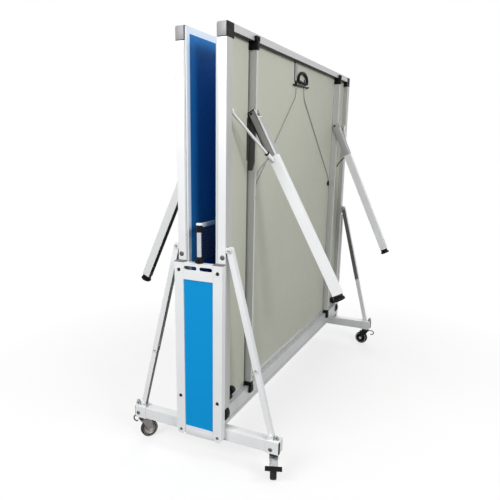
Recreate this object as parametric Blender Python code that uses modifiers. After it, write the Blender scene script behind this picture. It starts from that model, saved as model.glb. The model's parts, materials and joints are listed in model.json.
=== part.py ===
"""Folding table tennis table, stored upright on its trolley.

Metres, +Z up. The origin is on the floor under the middle of the trolley. X runs along the
opened table, Y along the net, and the near end frame is at -Y. Each half stands with its net
edge down and its playing face towards the middle. Every half piece is drawn for the right half
(+X) and turned half a turn about Z for the left one, which is the same part.
"""
import math

import bmesh
import bpy
from mathutils import Matrix, Vector

# Clearances
SEAT = 0.0003            # between pieces that touch
RUN = 0.0003             # round a pin that turns in its bore
SLIDE = 0.0008           # round a block that slides in its channel

# Table
PLAY_HEIGHT = 0.760      # floor to the open playing face
HALF_LENGTH = 1.370      # net edge to end line
HALF_WIDTH = 1.525       # side line to side line
FACE_GAP = 0.107         # between the two playing faces when stored
STORED_CLEARANCE = 0.013  # foot bar to the stored net edge
NET_EDGE_GAP = 0.007     # between the two net edges when open

# Board and the aluminium extrusions round it
BOARD_THICKNESS = 0.019
BOARD_PROUD = 0.006      # board edge that shows above the extrusion's lip
LIP_THICKNESS = 0.003
SIDE_EXTRUSION_WIDTH = 0.040
END_EXTRUSION_WIDTH = 0.024
NET_EXTRUSION_WIDTH = 0.068
EXTRUSION_DEPTH = 0.020
EXTRUSION_WALL = 0.0025
CAP_WIDTH = 0.052        # corner cap along the end line
CAP_LENGTH = 0.045       # corner cap along the side line
CAP_ROUND = 0.006

# Rails under the board
RAIL_INSET = 0.2225      # half's side to the rail's middle
RAIL_WIDTH = 0.012
RAIL_DEPTH = 0.027
RAIL_WALL = 0.002

# End frames
POST_WIDTH = 0.036
POST_DEPTH = 0.025
POST_WALL = 0.0025
POST_DROP = 0.004        # foot bar's underside to the post's bottom
POST_INSET = 0.005       # from the playing face's plane to the post's inner side
POST_GAP = 0.0025        # between the post and the half's side
CROSSBAR_HEIGHT = 0.060
CROSSBAR_WALL = 0.0025
SLOT_LENGTH = 0.0505
SLOT_HEIGHT = 0.013
SLOT_DROP = 0.018        # crossbar top to the slots' middle
SLOT_WEB = 0.011         # between the two slots
PANEL_THICKNESS = 0.005
PANEL_RECESS = 0.0035    # post front to panel front
PANEL_LAP = 0.008        # panel below the foot bar's top

# Base: a foot bar at each end and the tube that ties them
FOOT_BAR_HEIGHT = 0.044
FOOT_BAR_DEPTH = 0.040
FOOT_BAR_WALL = 0.0025
END_BLOCK_LENGTH = 0.048
END_BLOCK_MARGIN = 0.002  # block over the tube, each side
FOOT_SPREAD = 0.612       # over the two end blocks
TIE_WIDTH = 0.040
TIE_HEIGHT = 0.036
TIE_WALL = 0.002

# Sliding pivot of a half in its posts
PIN_RADIUS = 0.006
PIN_REACH = 0.026         # into the side extrusion
SLIDER_HEIGHT = 0.044

# Struts
STRUT_INSET = 0.0145      # half's side to the strut's middle
STRUT_FOOT_IN = 0.010     # caster's middle to the foot pivot
STRUT_FOOT_CLEAR = 0.004  # end block to the strut's round foot
STRUT_HEAD_CLEAR = 0.0005  # extrusion to the strut's round head
STRUT_TUBE_WIDTH = 0.017
STRUT_TUBE_DEPTH = 0.019
STRUT_CHANNEL_WIDTH = 0.021
STRUT_CHANNEL_DEPTH = 0.021
STRUT_WALL = 0.002
STRUT_LAP_HEIGHT = 0.245  # foot pivot to the bolted lap of tube and channel
STRUT_PIN_RADIUS = 0.004
LUG_THICKNESS = 0.003
LUG_ROUND = 0.010

# Legs
LEG_PIVOT_FROM_END = 0.262  # end line to the pivot
LEG_STORED_ANGLE = {-1: math.radians(28.5), 1: math.radians(25)}  # right half's near, far leg
LEG_WALL = 0.003
LEG_SIDE_CLEAR = 0.005    # rail to a cheek
LEG_HEAD_CLEAR = 0.0015   # board to the cheeks' round head
LEG_WEB_CLEAR = 0.005     # rail to the web
LEG_PIN_RADIUS = 0.004
BRACE_RADIUS = 0.005
BRACE_STEPS = 8
BRACE_DOWN = 0.185        # along the leg, from the pivot to the brace
BRACE_EYE_RADIUS = 0.009
BRACE_EYE_LENGTH = 0.012

# Levelling feet
FOOT_RADIUS = 0.019
FOOT_HEIGHT = 0.010
FOOT_STEM_RADIUS = 0.006
FOOT_STEM_LENGTH = 0.012
FOOT_PLUG_LENGTH = 0.022

# Release handle
HANDLE_WIDTH = 0.114
HANDLE_RISE = 0.012       # straight part of the loop's sides
HANDLE_BOW = 0.0285       # round part above it
HANDLE_RADIUS = 0.006
HANDLE_FROM_END = 0.1015  # end line to the hinge bar
HANDLE_SIDE = 0.006       # off the middle of the half
HANDLE_STEPS = 9

# Release cable, looped under the handle
CABLE_RADIUS = 0.002
CABLE_SPREAD = 0.100      # between its two strands at the handle
CABLE_SIDE = -0.0125      # off the middle of the half
CABLE_DROP = 0.050        # handle to where the strands part
CABLE_GUIDE_FROM_END = 0.549  # end line to the bend beside the rail
CABLE_RAIL_GAP = 0.014    # rail's side to the cable's middle
CABLE_LOOP_BEND = 0.012   # length of each bend, each way
CABLE_PART_BEND = 0.030
CABLE_GUIDE_BEND = 0.060
CABLE_STEPS = 5

# Net
NET_POST_RADIUS = 0.009
NET_COLLAR_RADIUS = 0.012
NET_COLLAR_HEIGHT = 0.020
NET_CLAMP_RADIUS = 0.0105
NET_CLAMP_HEIGHT = 0.030
NET_POST_STEPS = 16
NET_HEIGHT = 0.138
NET_LIFT = 0.006
NET_THICKNESS = 0.002
NET_TAPE = 0.015
NET_HEM = 0.012
NET_STRAND = 0.004
NET_COLUMNS = 24
NET_ROWS = 3

# Casters
WHEEL_RADIUS = 0.035
WHEEL_WIDTH = 0.024
WHEEL_EDGE = 0.004
HUB_RADIUS = 0.020
HUB_DISH = 0.003
AXLE_RADIUS = 0.004
CASTER_TRAIL = 0.022
FORK_GAP = 0.0015         # wheel side to fork cheek
FORK_WALL = 0.0025
FORK_HEAD_LENGTH = 0.036
CROWN_CLEAR = 0.009       # wheel to crown
CROWN_HEIGHT = 0.005
BEARING_RADIUS = 0.017
BEARING_HEIGHT = 0.0117   # crown to the block that it turns under
AXLE_EYE_RADIUS = 0.010
# Heading of each caster's trailing arm, from +X towards +Y
CASTER_HEADING = {
    ("near", "right"): math.radians(-69),
    ("near", "left"): math.radians(60),
    ("far", "right"): math.radians(170),
    ("far", "left"): math.radians(111),
}
BRAKED_CASTERS = (("near", "right"), ("far", "left"))
PEDAL_LENGTH = 0.043
PEDAL_THICKNESS = 0.005
PEDAL_SLOPE = math.radians(15)
TREAD_WIDTH = 0.060
TREAD_LENGTH = 0.012
TREAD_THICKNESS = 0.008

# Round pieces and the model's own settings
SMOOTH_ANGLE = math.radians(35)
FINE_STEPS = 24
PIN_STEPS = 12
ARC_STEPS = 6
WELD = 1e-6              # joins doubled points
AXIS_MARK = 0.05         # drawn size of a joint's empty

# Derived places
FACE_X = FACE_GAP / 2
SIDE_Y = HALF_WIDTH / 2
LIP_TOP = BOARD_PROUD
EXTRUSION_TOP = BOARD_THICKNESS + SEAT
EXTRUSION_FACE = EXTRUSION_TOP + EXTRUSION_DEPTH
CROWN_BOTTOM = 2 * WHEEL_RADIUS + CROWN_CLEAR
BLOCK_BOTTOM = CROWN_BOTTOM + CROWN_HEIGHT + BEARING_HEIGHT + SEAT
FOOT_BAR_BOTTOM = BLOCK_BOTTOM + END_BLOCK_MARGIN
FOOT_BAR_TOP = FOOT_BAR_BOTTOM + FOOT_BAR_HEIGHT
BLOCK_TOP = FOOT_BAR_TOP + END_BLOCK_MARGIN
NET_EDGE_HEIGHT = FOOT_BAR_TOP + STORED_CLEARANCE
PIVOT_DEPTH = EXTRUSION_TOP + EXTRUSION_DEPTH / 2
PIVOT_FROM_NET = FACE_X + PIVOT_DEPTH - NET_EDGE_GAP / 2
PIVOT_X = FACE_X + PIVOT_DEPTH
PIVOT_Z = NET_EDGE_HEIGHT + PIVOT_FROM_NET
POST_INNER_X = FACE_X + POST_INSET
POST_OUTER_X = POST_INNER_X + POST_WIDTH
POST_X = (POST_INNER_X + POST_OUTER_X) / 2
POST_BACK_Y = SIDE_Y + POST_GAP
POST_FRONT_Y = POST_BACK_Y + POST_DEPTH
POST_BOTTOM = FOOT_BAR_BOTTOM - POST_DROP
PANEL_BOTTOM = FOOT_BAR_TOP - PANEL_LAP
FOOT_BAR_FRONT_Y = POST_BACK_Y - SEAT
FOOT_BAR_BACK_Y = FOOT_BAR_FRONT_Y - FOOT_BAR_DEPTH
FOOT_BAR_Y = (FOOT_BAR_FRONT_Y + FOOT_BAR_BACK_Y) / 2
BLOCK_INNER_X = FOOT_SPREAD / 2 - END_BLOCK_LENGTH
CASTER_X = FOOT_SPREAD / 2 - END_BLOCK_LENGTH / 2
STRUT_Y = SIDE_Y - STRUT_INSET
STRUT_FOOT_X = CASTER_X - STRUT_FOOT_IN
STRUT_FOOT_Z = BLOCK_TOP + STRUT_FOOT_CLEAR + STRUT_TUBE_DEPTH / 2
STRUT_PIVOT_DEPTH = EXTRUSION_FACE + STRUT_HEAD_CLEAR + STRUT_CHANNEL_DEPTH / 2
RAIL_Y = SIDE_Y - RAIL_INSET
RAIL_FACE = EXTRUSION_TOP + RAIL_DEPTH
LEG_PIVOT_FROM_NET = HALF_LENGTH - LEG_PIVOT_FROM_END
LEG_PIVOT_DEPTH = EXTRUSION_TOP + RAIL_DEPTH / 2
LEG_WIDTH = RAIL_WIDTH + 2 * (LEG_SIDE_CLEAR + LEG_WALL)
LEG_ROUND = RAIL_DEPTH / 2 - LEG_HEAD_CLEAR
LEG_FRONT = RAIL_DEPTH / 2 + LEG_WEB_CLEAR + LEG_WALL
LEG_WEB_START = RAIL_DEPTH / 2 + LEG_WEB_CLEAR
LEG_LENGTH = PLAY_HEIGHT - LEG_PIVOT_DEPTH
LEG_TUBE_LENGTH = LEG_LENGTH - FOOT_HEIGHT - FOOT_STEM_LENGTH
HANDLE_FROM_NET = HALF_LENGTH - HANDLE_FROM_END
HANDLE_DEPTH = BOARD_THICKNESS + SEAT + HANDLE_RADIUS
CABLE_TOP = HANDLE_FROM_NET - HANDLE_RADIUS - SEAT - CABLE_RADIUS
CABLE_DEPTH = EXTRUSION_TOP + CABLE_RADIUS
NET_POST_Y = POST_FRONT_Y - POST_DEPTH / 2
NET_POST_TOP = PLAY_HEIGHT + NET_HEIGHT
FORK_INNER_Y = WHEEL_WIDTH / 2 + FORK_GAP

ENDS = {"near": -1, "far": 1}
SIDES = {"right": 1, "left": -1}
HALF_TURN = Matrix.Rotation(math.pi, 4, "Z")
# Turns an outline drawn in a plane so that it is swept along the named axis
SWEEP = {
    "X": Matrix(((0, 0, 1, 0), (1, 0, 0, 0), (0, 1, 0, 0), (0, 0, 0, 1))),
    "Y": Matrix.Rotation(math.pi / 2, 4, "X"),
    "Z": Matrix.Identity(4),
}
AXES = {"X": Vector((1, 0, 0)), "Y": Vector((0, 1, 0)), "Z": Vector((0, 0, 1))}


def strut_pivot_from_net():
    """Where on the side extrusion a rigid strut fits both the stored and the open half."""
    stored_x = STRUT_FOOT_X - FACE_X - STRUT_PIVOT_DEPTH
    stored_z = NET_EDGE_HEIGHT - STRUT_FOOT_Z
    open_x = NET_EDGE_GAP / 2 - STRUT_FOOT_X
    open_z = PLAY_HEIGHT - STRUT_PIVOT_DEPTH - STRUT_FOOT_Z
    return (open_x**2 + open_z**2 - stored_x**2 - stored_z**2) / (2 * (stored_z - open_x))


STRUT_PIVOT_FROM_NET = strut_pivot_from_net()


def stored(from_net, depth, across=0.0):
    """A point of the stored right half: from the net edge, under the playing face, along Y."""
    return Vector((FACE_X + depth, across, NET_EDGE_HEIGHT + from_net))


# Scene and materials

def clear_scene():
    for item in list(bpy.data.objects):
        bpy.data.objects.remove(item, do_unlink=True)


def new_collection(name):
    collection = bpy.data.collections.new(name)
    bpy.context.scene.collection.children.link(collection)
    return collection


def new_material(name, color, roughness, metallic=0.0):
    material = bpy.data.materials.new(name)
    material.use_nodes = True
    shader = material.node_tree.nodes["Principled BSDF"]
    shader.inputs["Base Color"].default_value = (*color, 1.0)
    shader.inputs["Roughness"].default_value = roughness
    shader.inputs["Metallic"].default_value = metallic
    return material


clear_scene()
PARTS = new_collection("folding_table_tennis_table")
CUTTERS = new_collection("cutters")
WHITE_PAINT = new_material("white_paint", (0.86, 0.87, 0.88), 0.35)
ALUMINIUM = new_material("white_aluminium", (0.84, 0.85, 0.86), 0.38, 0.2)
BLUE_BOARD = new_material("blue_board", (0.02, 0.16, 0.45), 0.55)
BLUE_PANEL = new_material("blue_panel", (0.0, 0.30, 0.66), 0.4)
BLACK_PLASTIC = new_material("black_plastic", (0.02, 0.02, 0.02), 0.5)
RUBBER = new_material("wheel_rubber", (0.03, 0.03, 0.03), 0.75)
CHROME = new_material("caster_chrome", (0.75, 0.76, 0.78), 0.2, 1.0)
NET_CORD = new_material("net_cord", (0.02, 0.03, 0.06), 0.8)


# Meshes

def take_mesh(item):
    """The evaluated mesh of a helper object, which is then removed with its data."""
    graph = bpy.context.evaluated_depsgraph_get()
    mesh = bpy.data.meshes.new_from_object(item.evaluated_get(graph))
    data = item.data
    bpy.data.objects.remove(item, do_unlink=True)
    bpy.data.batch_remove([data])
    return mesh


def closed(mesh):
    """Weld a mesh's loose caps and point its faces outwards."""
    edit = bmesh.new()
    edit.from_mesh(mesh)
    bmesh.ops.remove_doubles(edit, verts=edit.verts, dist=WELD)
    bmesh.ops.recalc_face_normals(edit, faces=edit.faces)
    edit.to_mesh(mesh)
    edit.free()
    return mesh


def helper(name, data):
    item = bpy.data.objects.new(name, data)
    item.hide_render = True
    item.display_type = "WIRE"
    CUTTERS.objects.link(item)
    return item


def box(low, high):
    edit = bmesh.new()
    bmesh.ops.create_cube(edit, size=1.0)
    size = [abs(b - a) for a, b in zip(low, high)]
    middle = [(a + b) / 2 for a, b in zip(low, high)]
    bmesh.ops.scale(edit, vec=size, verts=edit.verts)
    bmesh.ops.translate(edit, vec=middle, verts=edit.verts)
    mesh = bpy.data.meshes.new("box")
    edit.to_mesh(mesh)
    edit.free()
    return mesh


def rod(start, end, radius, steps=PIN_STEPS):
    """A round bar between two points."""
    start, end = Vector(start), Vector(end)
    along = end - start
    place = Matrix.Translation((start + end) / 2) @ along.to_track_quat("Z", "Y").to_matrix().to_4x4()
    edit = bmesh.new()
    bmesh.ops.create_cone(edit, cap_ends=True, segments=steps, radius1=radius, radius2=radius,
                          depth=along.length, matrix=place)
    mesh = bpy.data.meshes.new("rod")
    edit.to_mesh(mesh)
    edit.free()
    return mesh


def sweep(outline, axis, low, high, holes=()):
    """A flat outline swept along an axis, from low to high, with holes right through."""
    curve = bpy.data.curves.new("outline", "CURVE")
    curve.dimensions = "2D"
    curve.fill_mode = "BOTH"
    curve.extrude = abs(high - low) / 2
    for loop in (outline, *holes):
        spline = curve.splines.new("POLY")
        spline.points.add(len(loop) - 1)
        for point, (a, b) in zip(spline.points, loop):
            point.co = (a, b, 0, 1)
        spline.use_cyclic_u = True
    mesh = closed(take_mesh(helper("outline", curve)))
    mesh.transform(Matrix.Translation(AXES[axis] * (low + high) / 2) @ SWEEP[axis])
    return closed(mesh)


def turned(profile, steps=FINE_STEPS, ring=False):
    """A (radius, height) profile turned about Z: top to bottom outside, or a closed ring."""
    mesh = bpy.data.meshes.new("profile")
    count = len(profile)
    edges = [(i, i + 1) for i in range(count - 1)]
    if ring:
        edges.append((count - 1, 0))
    mesh.from_pydata([(radius, 0, height) for radius, height in profile], edges, [])
    item = helper("profile", mesh)
    screw = item.modifiers.new("turn", "SCREW")
    screw.steps = steps
    screw.render_steps = steps
    screw.use_merge_vertices = True
    screw.merge_threshold = WELD
    return closed(take_mesh(item))


def tube(points, radius, cyclic=False):
    """A round bar along points, closed on itself or capped."""
    curve = bpy.data.curves.new("tube", "CURVE")
    curve.dimensions = "3D"
    curve.bevel_depth = radius
    curve.bevel_resolution = 2
    curve.use_fill_caps = not cyclic
    spline = curve.splines.new("POLY")
    spline.points.add(len(points) - 1)
    for point, place in zip(spline.points, points):
        point.co = (*place, 1)
    spline.use_cyclic_u = cyclic
    return closed(take_mesh(helper("tube", curve)))


def boolean(base, tools, operation):
    """The base mesh joined with, or cut by, each tool mesh in turn."""
    item = helper("base", base)
    tool_items = [helper("tool", tool) for tool in tools]
    for tool_item in tool_items:
        modifier = item.modifiers.new("boolean", "BOOLEAN")
        modifier.operation = operation
        modifier.object = tool_item
    mesh = take_mesh(item)
    for tool_item in tool_items:
        data = tool_item.data
        bpy.data.objects.remove(tool_item, do_unlink=True)
        bpy.data.meshes.remove(data)
    return mesh


def union(base, *tools):
    return boolean(base, tools, "UNION")


def cut(base, *tools):
    return boolean(base, tools, "DIFFERENCE")


def rectangle(low, high):
    return [(low[0], low[1]), (high[0], low[1]), (high[0], high[1]), (low[0], high[1])]


def arc(middle, radius, start, end, steps=ARC_STEPS):
    """Points along a circular arc, angles in degrees."""
    angles = [math.radians(start + (end - start) * i / steps) for i in range(steps + 1)]
    return [(middle[0] + radius * math.cos(a), middle[1] + radius * math.sin(a)) for a in angles]


def bar_outline(start, end, radius):
    """A flat bar with round ends about two points."""
    heading = math.degrees(math.atan2(end[1] - start[1], end[0] - start[0]))
    return (arc(end, radius, heading - 90, heading + 90)
            + arc(start, radius, heading + 90, heading + 270))


# Placing

def pivot(name, place, parent=None):
    """An empty on a joint's axis, which carries the pieces that move with it."""
    item = bpy.data.objects.new(name, None)
    item.empty_display_size = AXIS_MARK
    PARTS.objects.link(item)
    item.parent = parent
    world = Vector(place)
    item["world"] = tuple(world)
    item.location = world - Vector(parent["world"]) if parent else world
    return item


def add(name, mesh, material, carrier):
    """One piece, drawn in world coordinates, hung on its carrier's axis."""
    mesh.name = name
    mesh.transform(Matrix.Translation(-Vector(carrier["world"])))
    mesh.materials.clear()
    mesh.materials.append(material)
    mesh.shade_smooth()
    mesh.set_sharp_from_angle(angle=SMOOTH_ANGLE)
    item = bpy.data.objects.new(name, mesh)
    item.parent = carrier
    PARTS.objects.link(item)
    return item


def turn_for(side, mesh):
    """A right-half mesh where it belongs on the named side."""
    if side == "left":
        mesh.transform(HALF_TURN)
    return mesh


def point_for(side, point):
    point = Vector(point)
    return HALF_TURN @ point if side == "left" else point


def end_for(side, sign):
    """The end of the table that a right-half end (-1 near, 1 far) takes on the named side."""
    return "near" if sign * SIDES[side] < 0 else "far"


# Trolley

def post_mesh(side):
    """C-channel open towards the half, with a round bottom to its front."""
    inner, outer = sorted((POST_INNER_X * SIDES[side], POST_OUTER_X * SIDES[side]))
    front, back = -POST_FRONT_Y, -POST_BACK_Y
    middle = (inner + outer) / 2
    round_z = POST_BOTTOM + POST_WIDTH / 2
    face = [(inner, PLAY_HEIGHT), *arc((middle, round_z), POST_WIDTH / 2, 180, 360, 2 * ARC_STEPS),
            (outer, PLAY_HEIGHT)]
    wall = POST_WALL
    channel = box((inner + wall, front + wall, POST_BOTTOM - wall),
                  (outer - wall, back + wall, PLAY_HEIGHT + wall))
    return cut(sweep(face, "Y", front, back), channel)


def crossbar_mesh():
    """Channel open at the back, with two slots through its front."""
    half = POST_INNER_X - SEAT
    bottom = PLAY_HEIGHT - CROSSBAR_HEIGHT
    wall = CROSSBAR_WALL
    bar = box((-half, -POST_FRONT_Y, bottom), (half, -POST_BACK_Y, PLAY_HEIGHT))
    hollow = box((-half - wall, -POST_FRONT_Y + wall, bottom + wall),
                 (half + wall, -POST_BACK_Y + wall, PLAY_HEIGHT - wall))
    slot_z = PLAY_HEIGHT - SLOT_DROP
    slots = []
    for sign in (-1, 1):
        near = sign * (SLOT_WEB / 2 + SLOT_HEIGHT / 2)
        far = sign * (SLOT_WEB / 2 + SLOT_LENGTH - SLOT_HEIGHT / 2)
        outline = bar_outline((near, slot_z), (far, slot_z), SLOT_HEIGHT / 2)
        slots.append(sweep(outline, "Y", -POST_FRONT_Y - wall, -POST_FRONT_Y + 2 * wall))
    return cut(bar, hollow, *slots)


def panel_mesh():
    front = -POST_FRONT_Y + PANEL_RECESS
    half = POST_INNER_X - SEAT
    top = PLAY_HEIGHT - CROSSBAR_HEIGHT - SEAT
    return box((-half, front, PANEL_BOTTOM), (half, front + PANEL_THICKNESS, top))


def foot_bar_mesh():
    """Tube across the end frame, with a cast block, a strut clevis and its bolts at each end."""
    margin = END_BLOCK_MARGIN
    outline = rectangle((-FOOT_BAR_FRONT_Y, FOOT_BAR_BOTTOM), (-FOOT_BAR_BACK_Y, FOOT_BAR_TOP))
    bore = rectangle((-FOOT_BAR_FRONT_Y + FOOT_BAR_WALL, FOOT_BAR_BOTTOM + FOOT_BAR_WALL),
                     (-FOOT_BAR_BACK_Y - FOOT_BAR_WALL, FOOT_BAR_TOP - FOOT_BAR_WALL))
    reach = BLOCK_INNER_X + margin
    bar = sweep(outline, "X", -reach, reach, [bore])
    vent = box((-margin, -FOOT_BAR_Y - margin, FOOT_BAR_BOTTOM - margin),
               (margin, -FOOT_BAR_Y + margin, FOOT_BAR_BOTTOM + 2 * margin))
    fittings = []
    cheek = STRUT_TUBE_WIDTH / 2 + SEAT
    for sign in (-1, 1):
        foot = (sign * STRUT_FOOT_X, STRUT_FOOT_Z)
        outer = sign * FOOT_SPREAD / 2
        inner = sign * BLOCK_INNER_X
        fittings.append(box((min(inner, outer), -FOOT_BAR_FRONT_Y - margin, BLOCK_BOTTOM),
                            (max(inner, outer), -FOOT_BAR_BACK_Y + margin, BLOCK_TOP)))
        ear = [*arc(foot, LUG_ROUND, 0, 180), (foot[0] - LUG_ROUND, BLOCK_TOP - margin),
               (foot[0] + LUG_ROUND, BLOCK_TOP - margin)]
        for ear_sign in (-1, 1):
            start = -STRUT_Y + ear_sign * cheek
            end = start + ear_sign * LUG_THICKNESS
            fittings.append(sweep(ear, "Y", start, end))
            head = end + ear_sign * LUG_THICKNESS
            fittings.append(rod((foot[0], end - ear_sign * LUG_THICKNESS / 2, foot[1]),
                                (foot[0], head, foot[1]), STRUT_PIN_RADIUS + LUG_THICKNESS / 2))
    return union(cut(bar, vent), *fittings)


def base_frame_mesh():
    """The two foot bars with the tie tube welded between them."""
    top = FOOT_BAR_TOP - END_BLOCK_MARGIN
    bottom = top - TIE_HEIGHT
    half = TIE_WIDTH / 2
    outline = rectangle((-half, bottom), (half, top))
    bore = rectangle((-half + TIE_WALL, bottom + TIE_WALL), (half - TIE_WALL, top - TIE_WALL))
    reach = FOOT_BAR_BACK_Y + FOOT_BAR_WALL / 2
    tie = sweep(outline, "Y", -reach, reach, [bore])
    vent = box((-TIE_WALL, -TIE_WALL, bottom - TIE_WALL), (TIE_WALL, TIE_WALL, bottom + 2 * TIE_WALL))
    far_bar = foot_bar_mesh()
    far_bar.transform(HALF_TURN)
    return union(cut(tie, vent), foot_bar_mesh(), far_bar)


def net_post_mesh():
    base = PLAY_HEIGHT + SEAT
    neck = base + NET_COLLAR_HEIGHT
    clamp = NET_POST_TOP - NET_CLAMP_HEIGHT
    profile = [(0, NET_POST_TOP), (NET_CLAMP_RADIUS, NET_POST_TOP), (NET_CLAMP_RADIUS, clamp),
               (NET_POST_RADIUS, clamp), (NET_POST_RADIUS, neck), (NET_COLLAR_RADIUS, neck),
               (NET_COLLAR_RADIUS, base), (0, base)]
    mesh = turned(profile, NET_POST_STEPS)
    mesh.transform(Matrix.Translation((0, -NET_POST_Y, 0)))
    return mesh


def net_mesh():
    """Flat net with its tape above and hems round it, stretched from post to post."""
    reach = NET_POST_Y - max(NET_CLAMP_RADIUS, NET_COLLAR_RADIUS) - SEAT
    bottom, top = PLAY_HEIGHT + NET_LIFT, NET_POST_TOP
    span_y = 2 * (reach - NET_HEM)
    span_z = top - NET_TAPE - bottom - NET_HEM
    gap_y = (span_y - (NET_COLUMNS - 1) * NET_STRAND) / NET_COLUMNS
    gap_z = (span_z - (NET_ROWS - 1) * NET_STRAND) / NET_ROWS
    gaps = []
    for column in range(NET_COLUMNS):
        for row in range(NET_ROWS):
            y = -reach + NET_HEM + column * (gap_y + NET_STRAND)
            z = bottom + NET_HEM + row * (gap_z + NET_STRAND)
            gaps.append(rectangle((y, z), (y + gap_y, z + gap_z)))
    outline = rectangle((-reach, bottom), (reach, top))
    return sweep(outline, "X", -NET_THICKNESS / 2, NET_THICKNESS / 2, gaps)


def build_trolley(trolley):
    for end in ENDS:
        place = HALF_TURN if end == "far" else Matrix.Identity(4)
        frame = [
            ("crossbar", crossbar_mesh(), WHITE_PAINT),
            ("end_panel", panel_mesh(), BLUE_PANEL),
            ("net_post", net_post_mesh(), CHROME),
        ]
        for side in SIDES:
            drawn = side if end == "near" else ("left" if side == "right" else "right")
            frame.append((f"{side}_post", post_mesh(drawn), WHITE_PAINT))
        for name, mesh, material in frame:
            mesh.transform(place)
            add(f"{end}_{name}", mesh, material, trolley)
    add("base_frame", base_frame_mesh(), WHITE_PAINT, trolley)
    add("net", net_mesh(), NET_CORD, trolley)


# Halves

def extrusion_outline(outer, inwards, width):
    """Section of an edge extrusion as (depth x, across) points, with its hollow."""
    def across(inset):
        return outer + inwards * inset

    wall = EXTRUSION_WALL
    section = [(FACE_X + LIP_TOP, across(0)), (FACE_X + LIP_TOP, across(LIP_THICKNESS)),
               (FACE_X + EXTRUSION_TOP, across(LIP_THICKNESS)),
               (FACE_X + EXTRUSION_TOP, across(width)),
               (FACE_X + EXTRUSION_FACE, across(width)), (FACE_X + EXTRUSION_FACE, across(0))]
    hollow = rectangle((FACE_X + EXTRUSION_TOP + wall, across(wall)),
                       (FACE_X + EXTRUSION_FACE - wall, across(width - wall)))
    return section, hollow


def side_apron_mesh(sign):
    """Side extrusion with the bore for the sliding pin and the strut's lug."""
    outer = sign * SIDE_Y
    section, hollow = extrusion_outline(outer, -sign, SIDE_EXTRUSION_WIDTH)
    top = NET_EDGE_HEIGHT + HALF_LENGTH - CAP_LENGTH - SEAT
    apron = sweep(section, "Z", NET_EDGE_HEIGHT, top, [hollow])
    pin = stored(PIVOT_FROM_NET, PIVOT_DEPTH, outer)
    across = Vector((0, sign * EXTRUSION_WALL, 0))
    bore = rod(pin + across, pin - 2 * across, PIN_RADIUS + RUN)
    hub = stored(STRUT_PIVOT_FROM_NET, STRUT_PIVOT_DEPTH)
    foot_x = FACE_X + EXTRUSION_FACE - EXTRUSION_WALL / 2
    ear = [*arc((hub.x, hub.z), LUG_ROUND, -90, 90),
           (foot_x, hub.z + LUG_ROUND), (foot_x, hub.z - LUG_ROUND)]
    ears = []
    for ear_sign in (-1, 1):
        start = sign * STRUT_Y + ear_sign * (STRUT_CHANNEL_WIDTH / 2 + SEAT)
        ears.append(sweep(ear, "Y", start, start + ear_sign * LUG_THICKNESS))
    reach = STRUT_CHANNEL_WIDTH / 2 + 2 * LUG_THICKNESS
    hole = rod((hub.x, sign * STRUT_Y - reach, hub.z), (hub.x, sign * STRUT_Y + reach, hub.z),
               STRUT_PIN_RADIUS + RUN)
    return cut(union(apron, *ears), bore, hole)


def end_apron_mesh():
    section, hollow = extrusion_outline(NET_EDGE_HEIGHT + HALF_LENGTH, -1, END_EXTRUSION_WIDTH)
    reach = SIDE_Y - CAP_WIDTH - SEAT
    return sweep(section, "Y", -reach, reach, [hollow])


def net_apron_mesh():
    section, hollow = extrusion_outline(NET_EDGE_HEIGHT, 1, NET_EXTRUSION_WIDTH)
    reach = SIDE_Y - SIDE_EXTRUSION_WIDTH - SEAT
    return sweep(section, "Y", -reach, reach, [hollow])


def corner_cap_mesh(sign):
    """Cap over the two extrusions' ends, with a pocket for the board's corner."""
    top = NET_EDGE_HEIGHT + HALF_LENGTH
    outer = sign * SIDE_Y
    inner = sign * (SIDE_Y - CAP_WIDTH)
    bend = (outer - sign * CAP_ROUND, top - CAP_ROUND)
    corner = arc(bend, CAP_ROUND, 0, 90) if sign > 0 else arc(bend, CAP_ROUND, 180, 90)
    outline = [(outer, top - CAP_LENGTH), *corner, (inner, top), (inner, top - CAP_LENGTH)]
    cap = sweep(outline, "X", FACE_X + LIP_TOP, FACE_X + EXTRUSION_FACE)
    lip = LIP_THICKNESS
    pocket = sorted((outer - sign * lip, inner - sign * lip))
    room = box((FACE_X, pocket[0], top - CAP_LENGTH - lip),
               (FACE_X + EXTRUSION_TOP, pocket[1], top - lip))
    return cut(cap, room)


def board_mesh():
    inset = LIP_THICKNESS + SEAT
    low = stored(inset, 0, -SIDE_Y + inset)
    high = stored(HALF_LENGTH - inset, BOARD_THICKNESS, SIDE_Y - inset)
    return box(low, high)


def rail_mesh(sign):
    """Tube along the underside, bored for the leg's pivot."""
    half = RAIL_WIDTH / 2
    y = sign * RAIL_Y
    section = rectangle((FACE_X + EXTRUSION_TOP, y - half), (FACE_X + RAIL_FACE, y + half))
    hollow = rectangle((FACE_X + EXTRUSION_TOP + RAIL_WALL, y - half + RAIL_WALL),
                       (FACE_X + RAIL_FACE - RAIL_WALL, y + half - RAIL_WALL))
    low = NET_EDGE_HEIGHT + NET_EXTRUSION_WIDTH + SEAT
    high = NET_EDGE_HEIGHT + HALF_LENGTH - END_EXTRUSION_WIDTH - SEAT
    rail = sweep(section, "Z", low, high, [hollow])
    axis = stored(LEG_PIVOT_FROM_NET, LEG_PIVOT_DEPTH, y)
    across = Vector((0, RAIL_WIDTH, 0))
    return cut(rail, rod(axis - across, axis + across, LEG_PIN_RADIUS + RUN))


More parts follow.
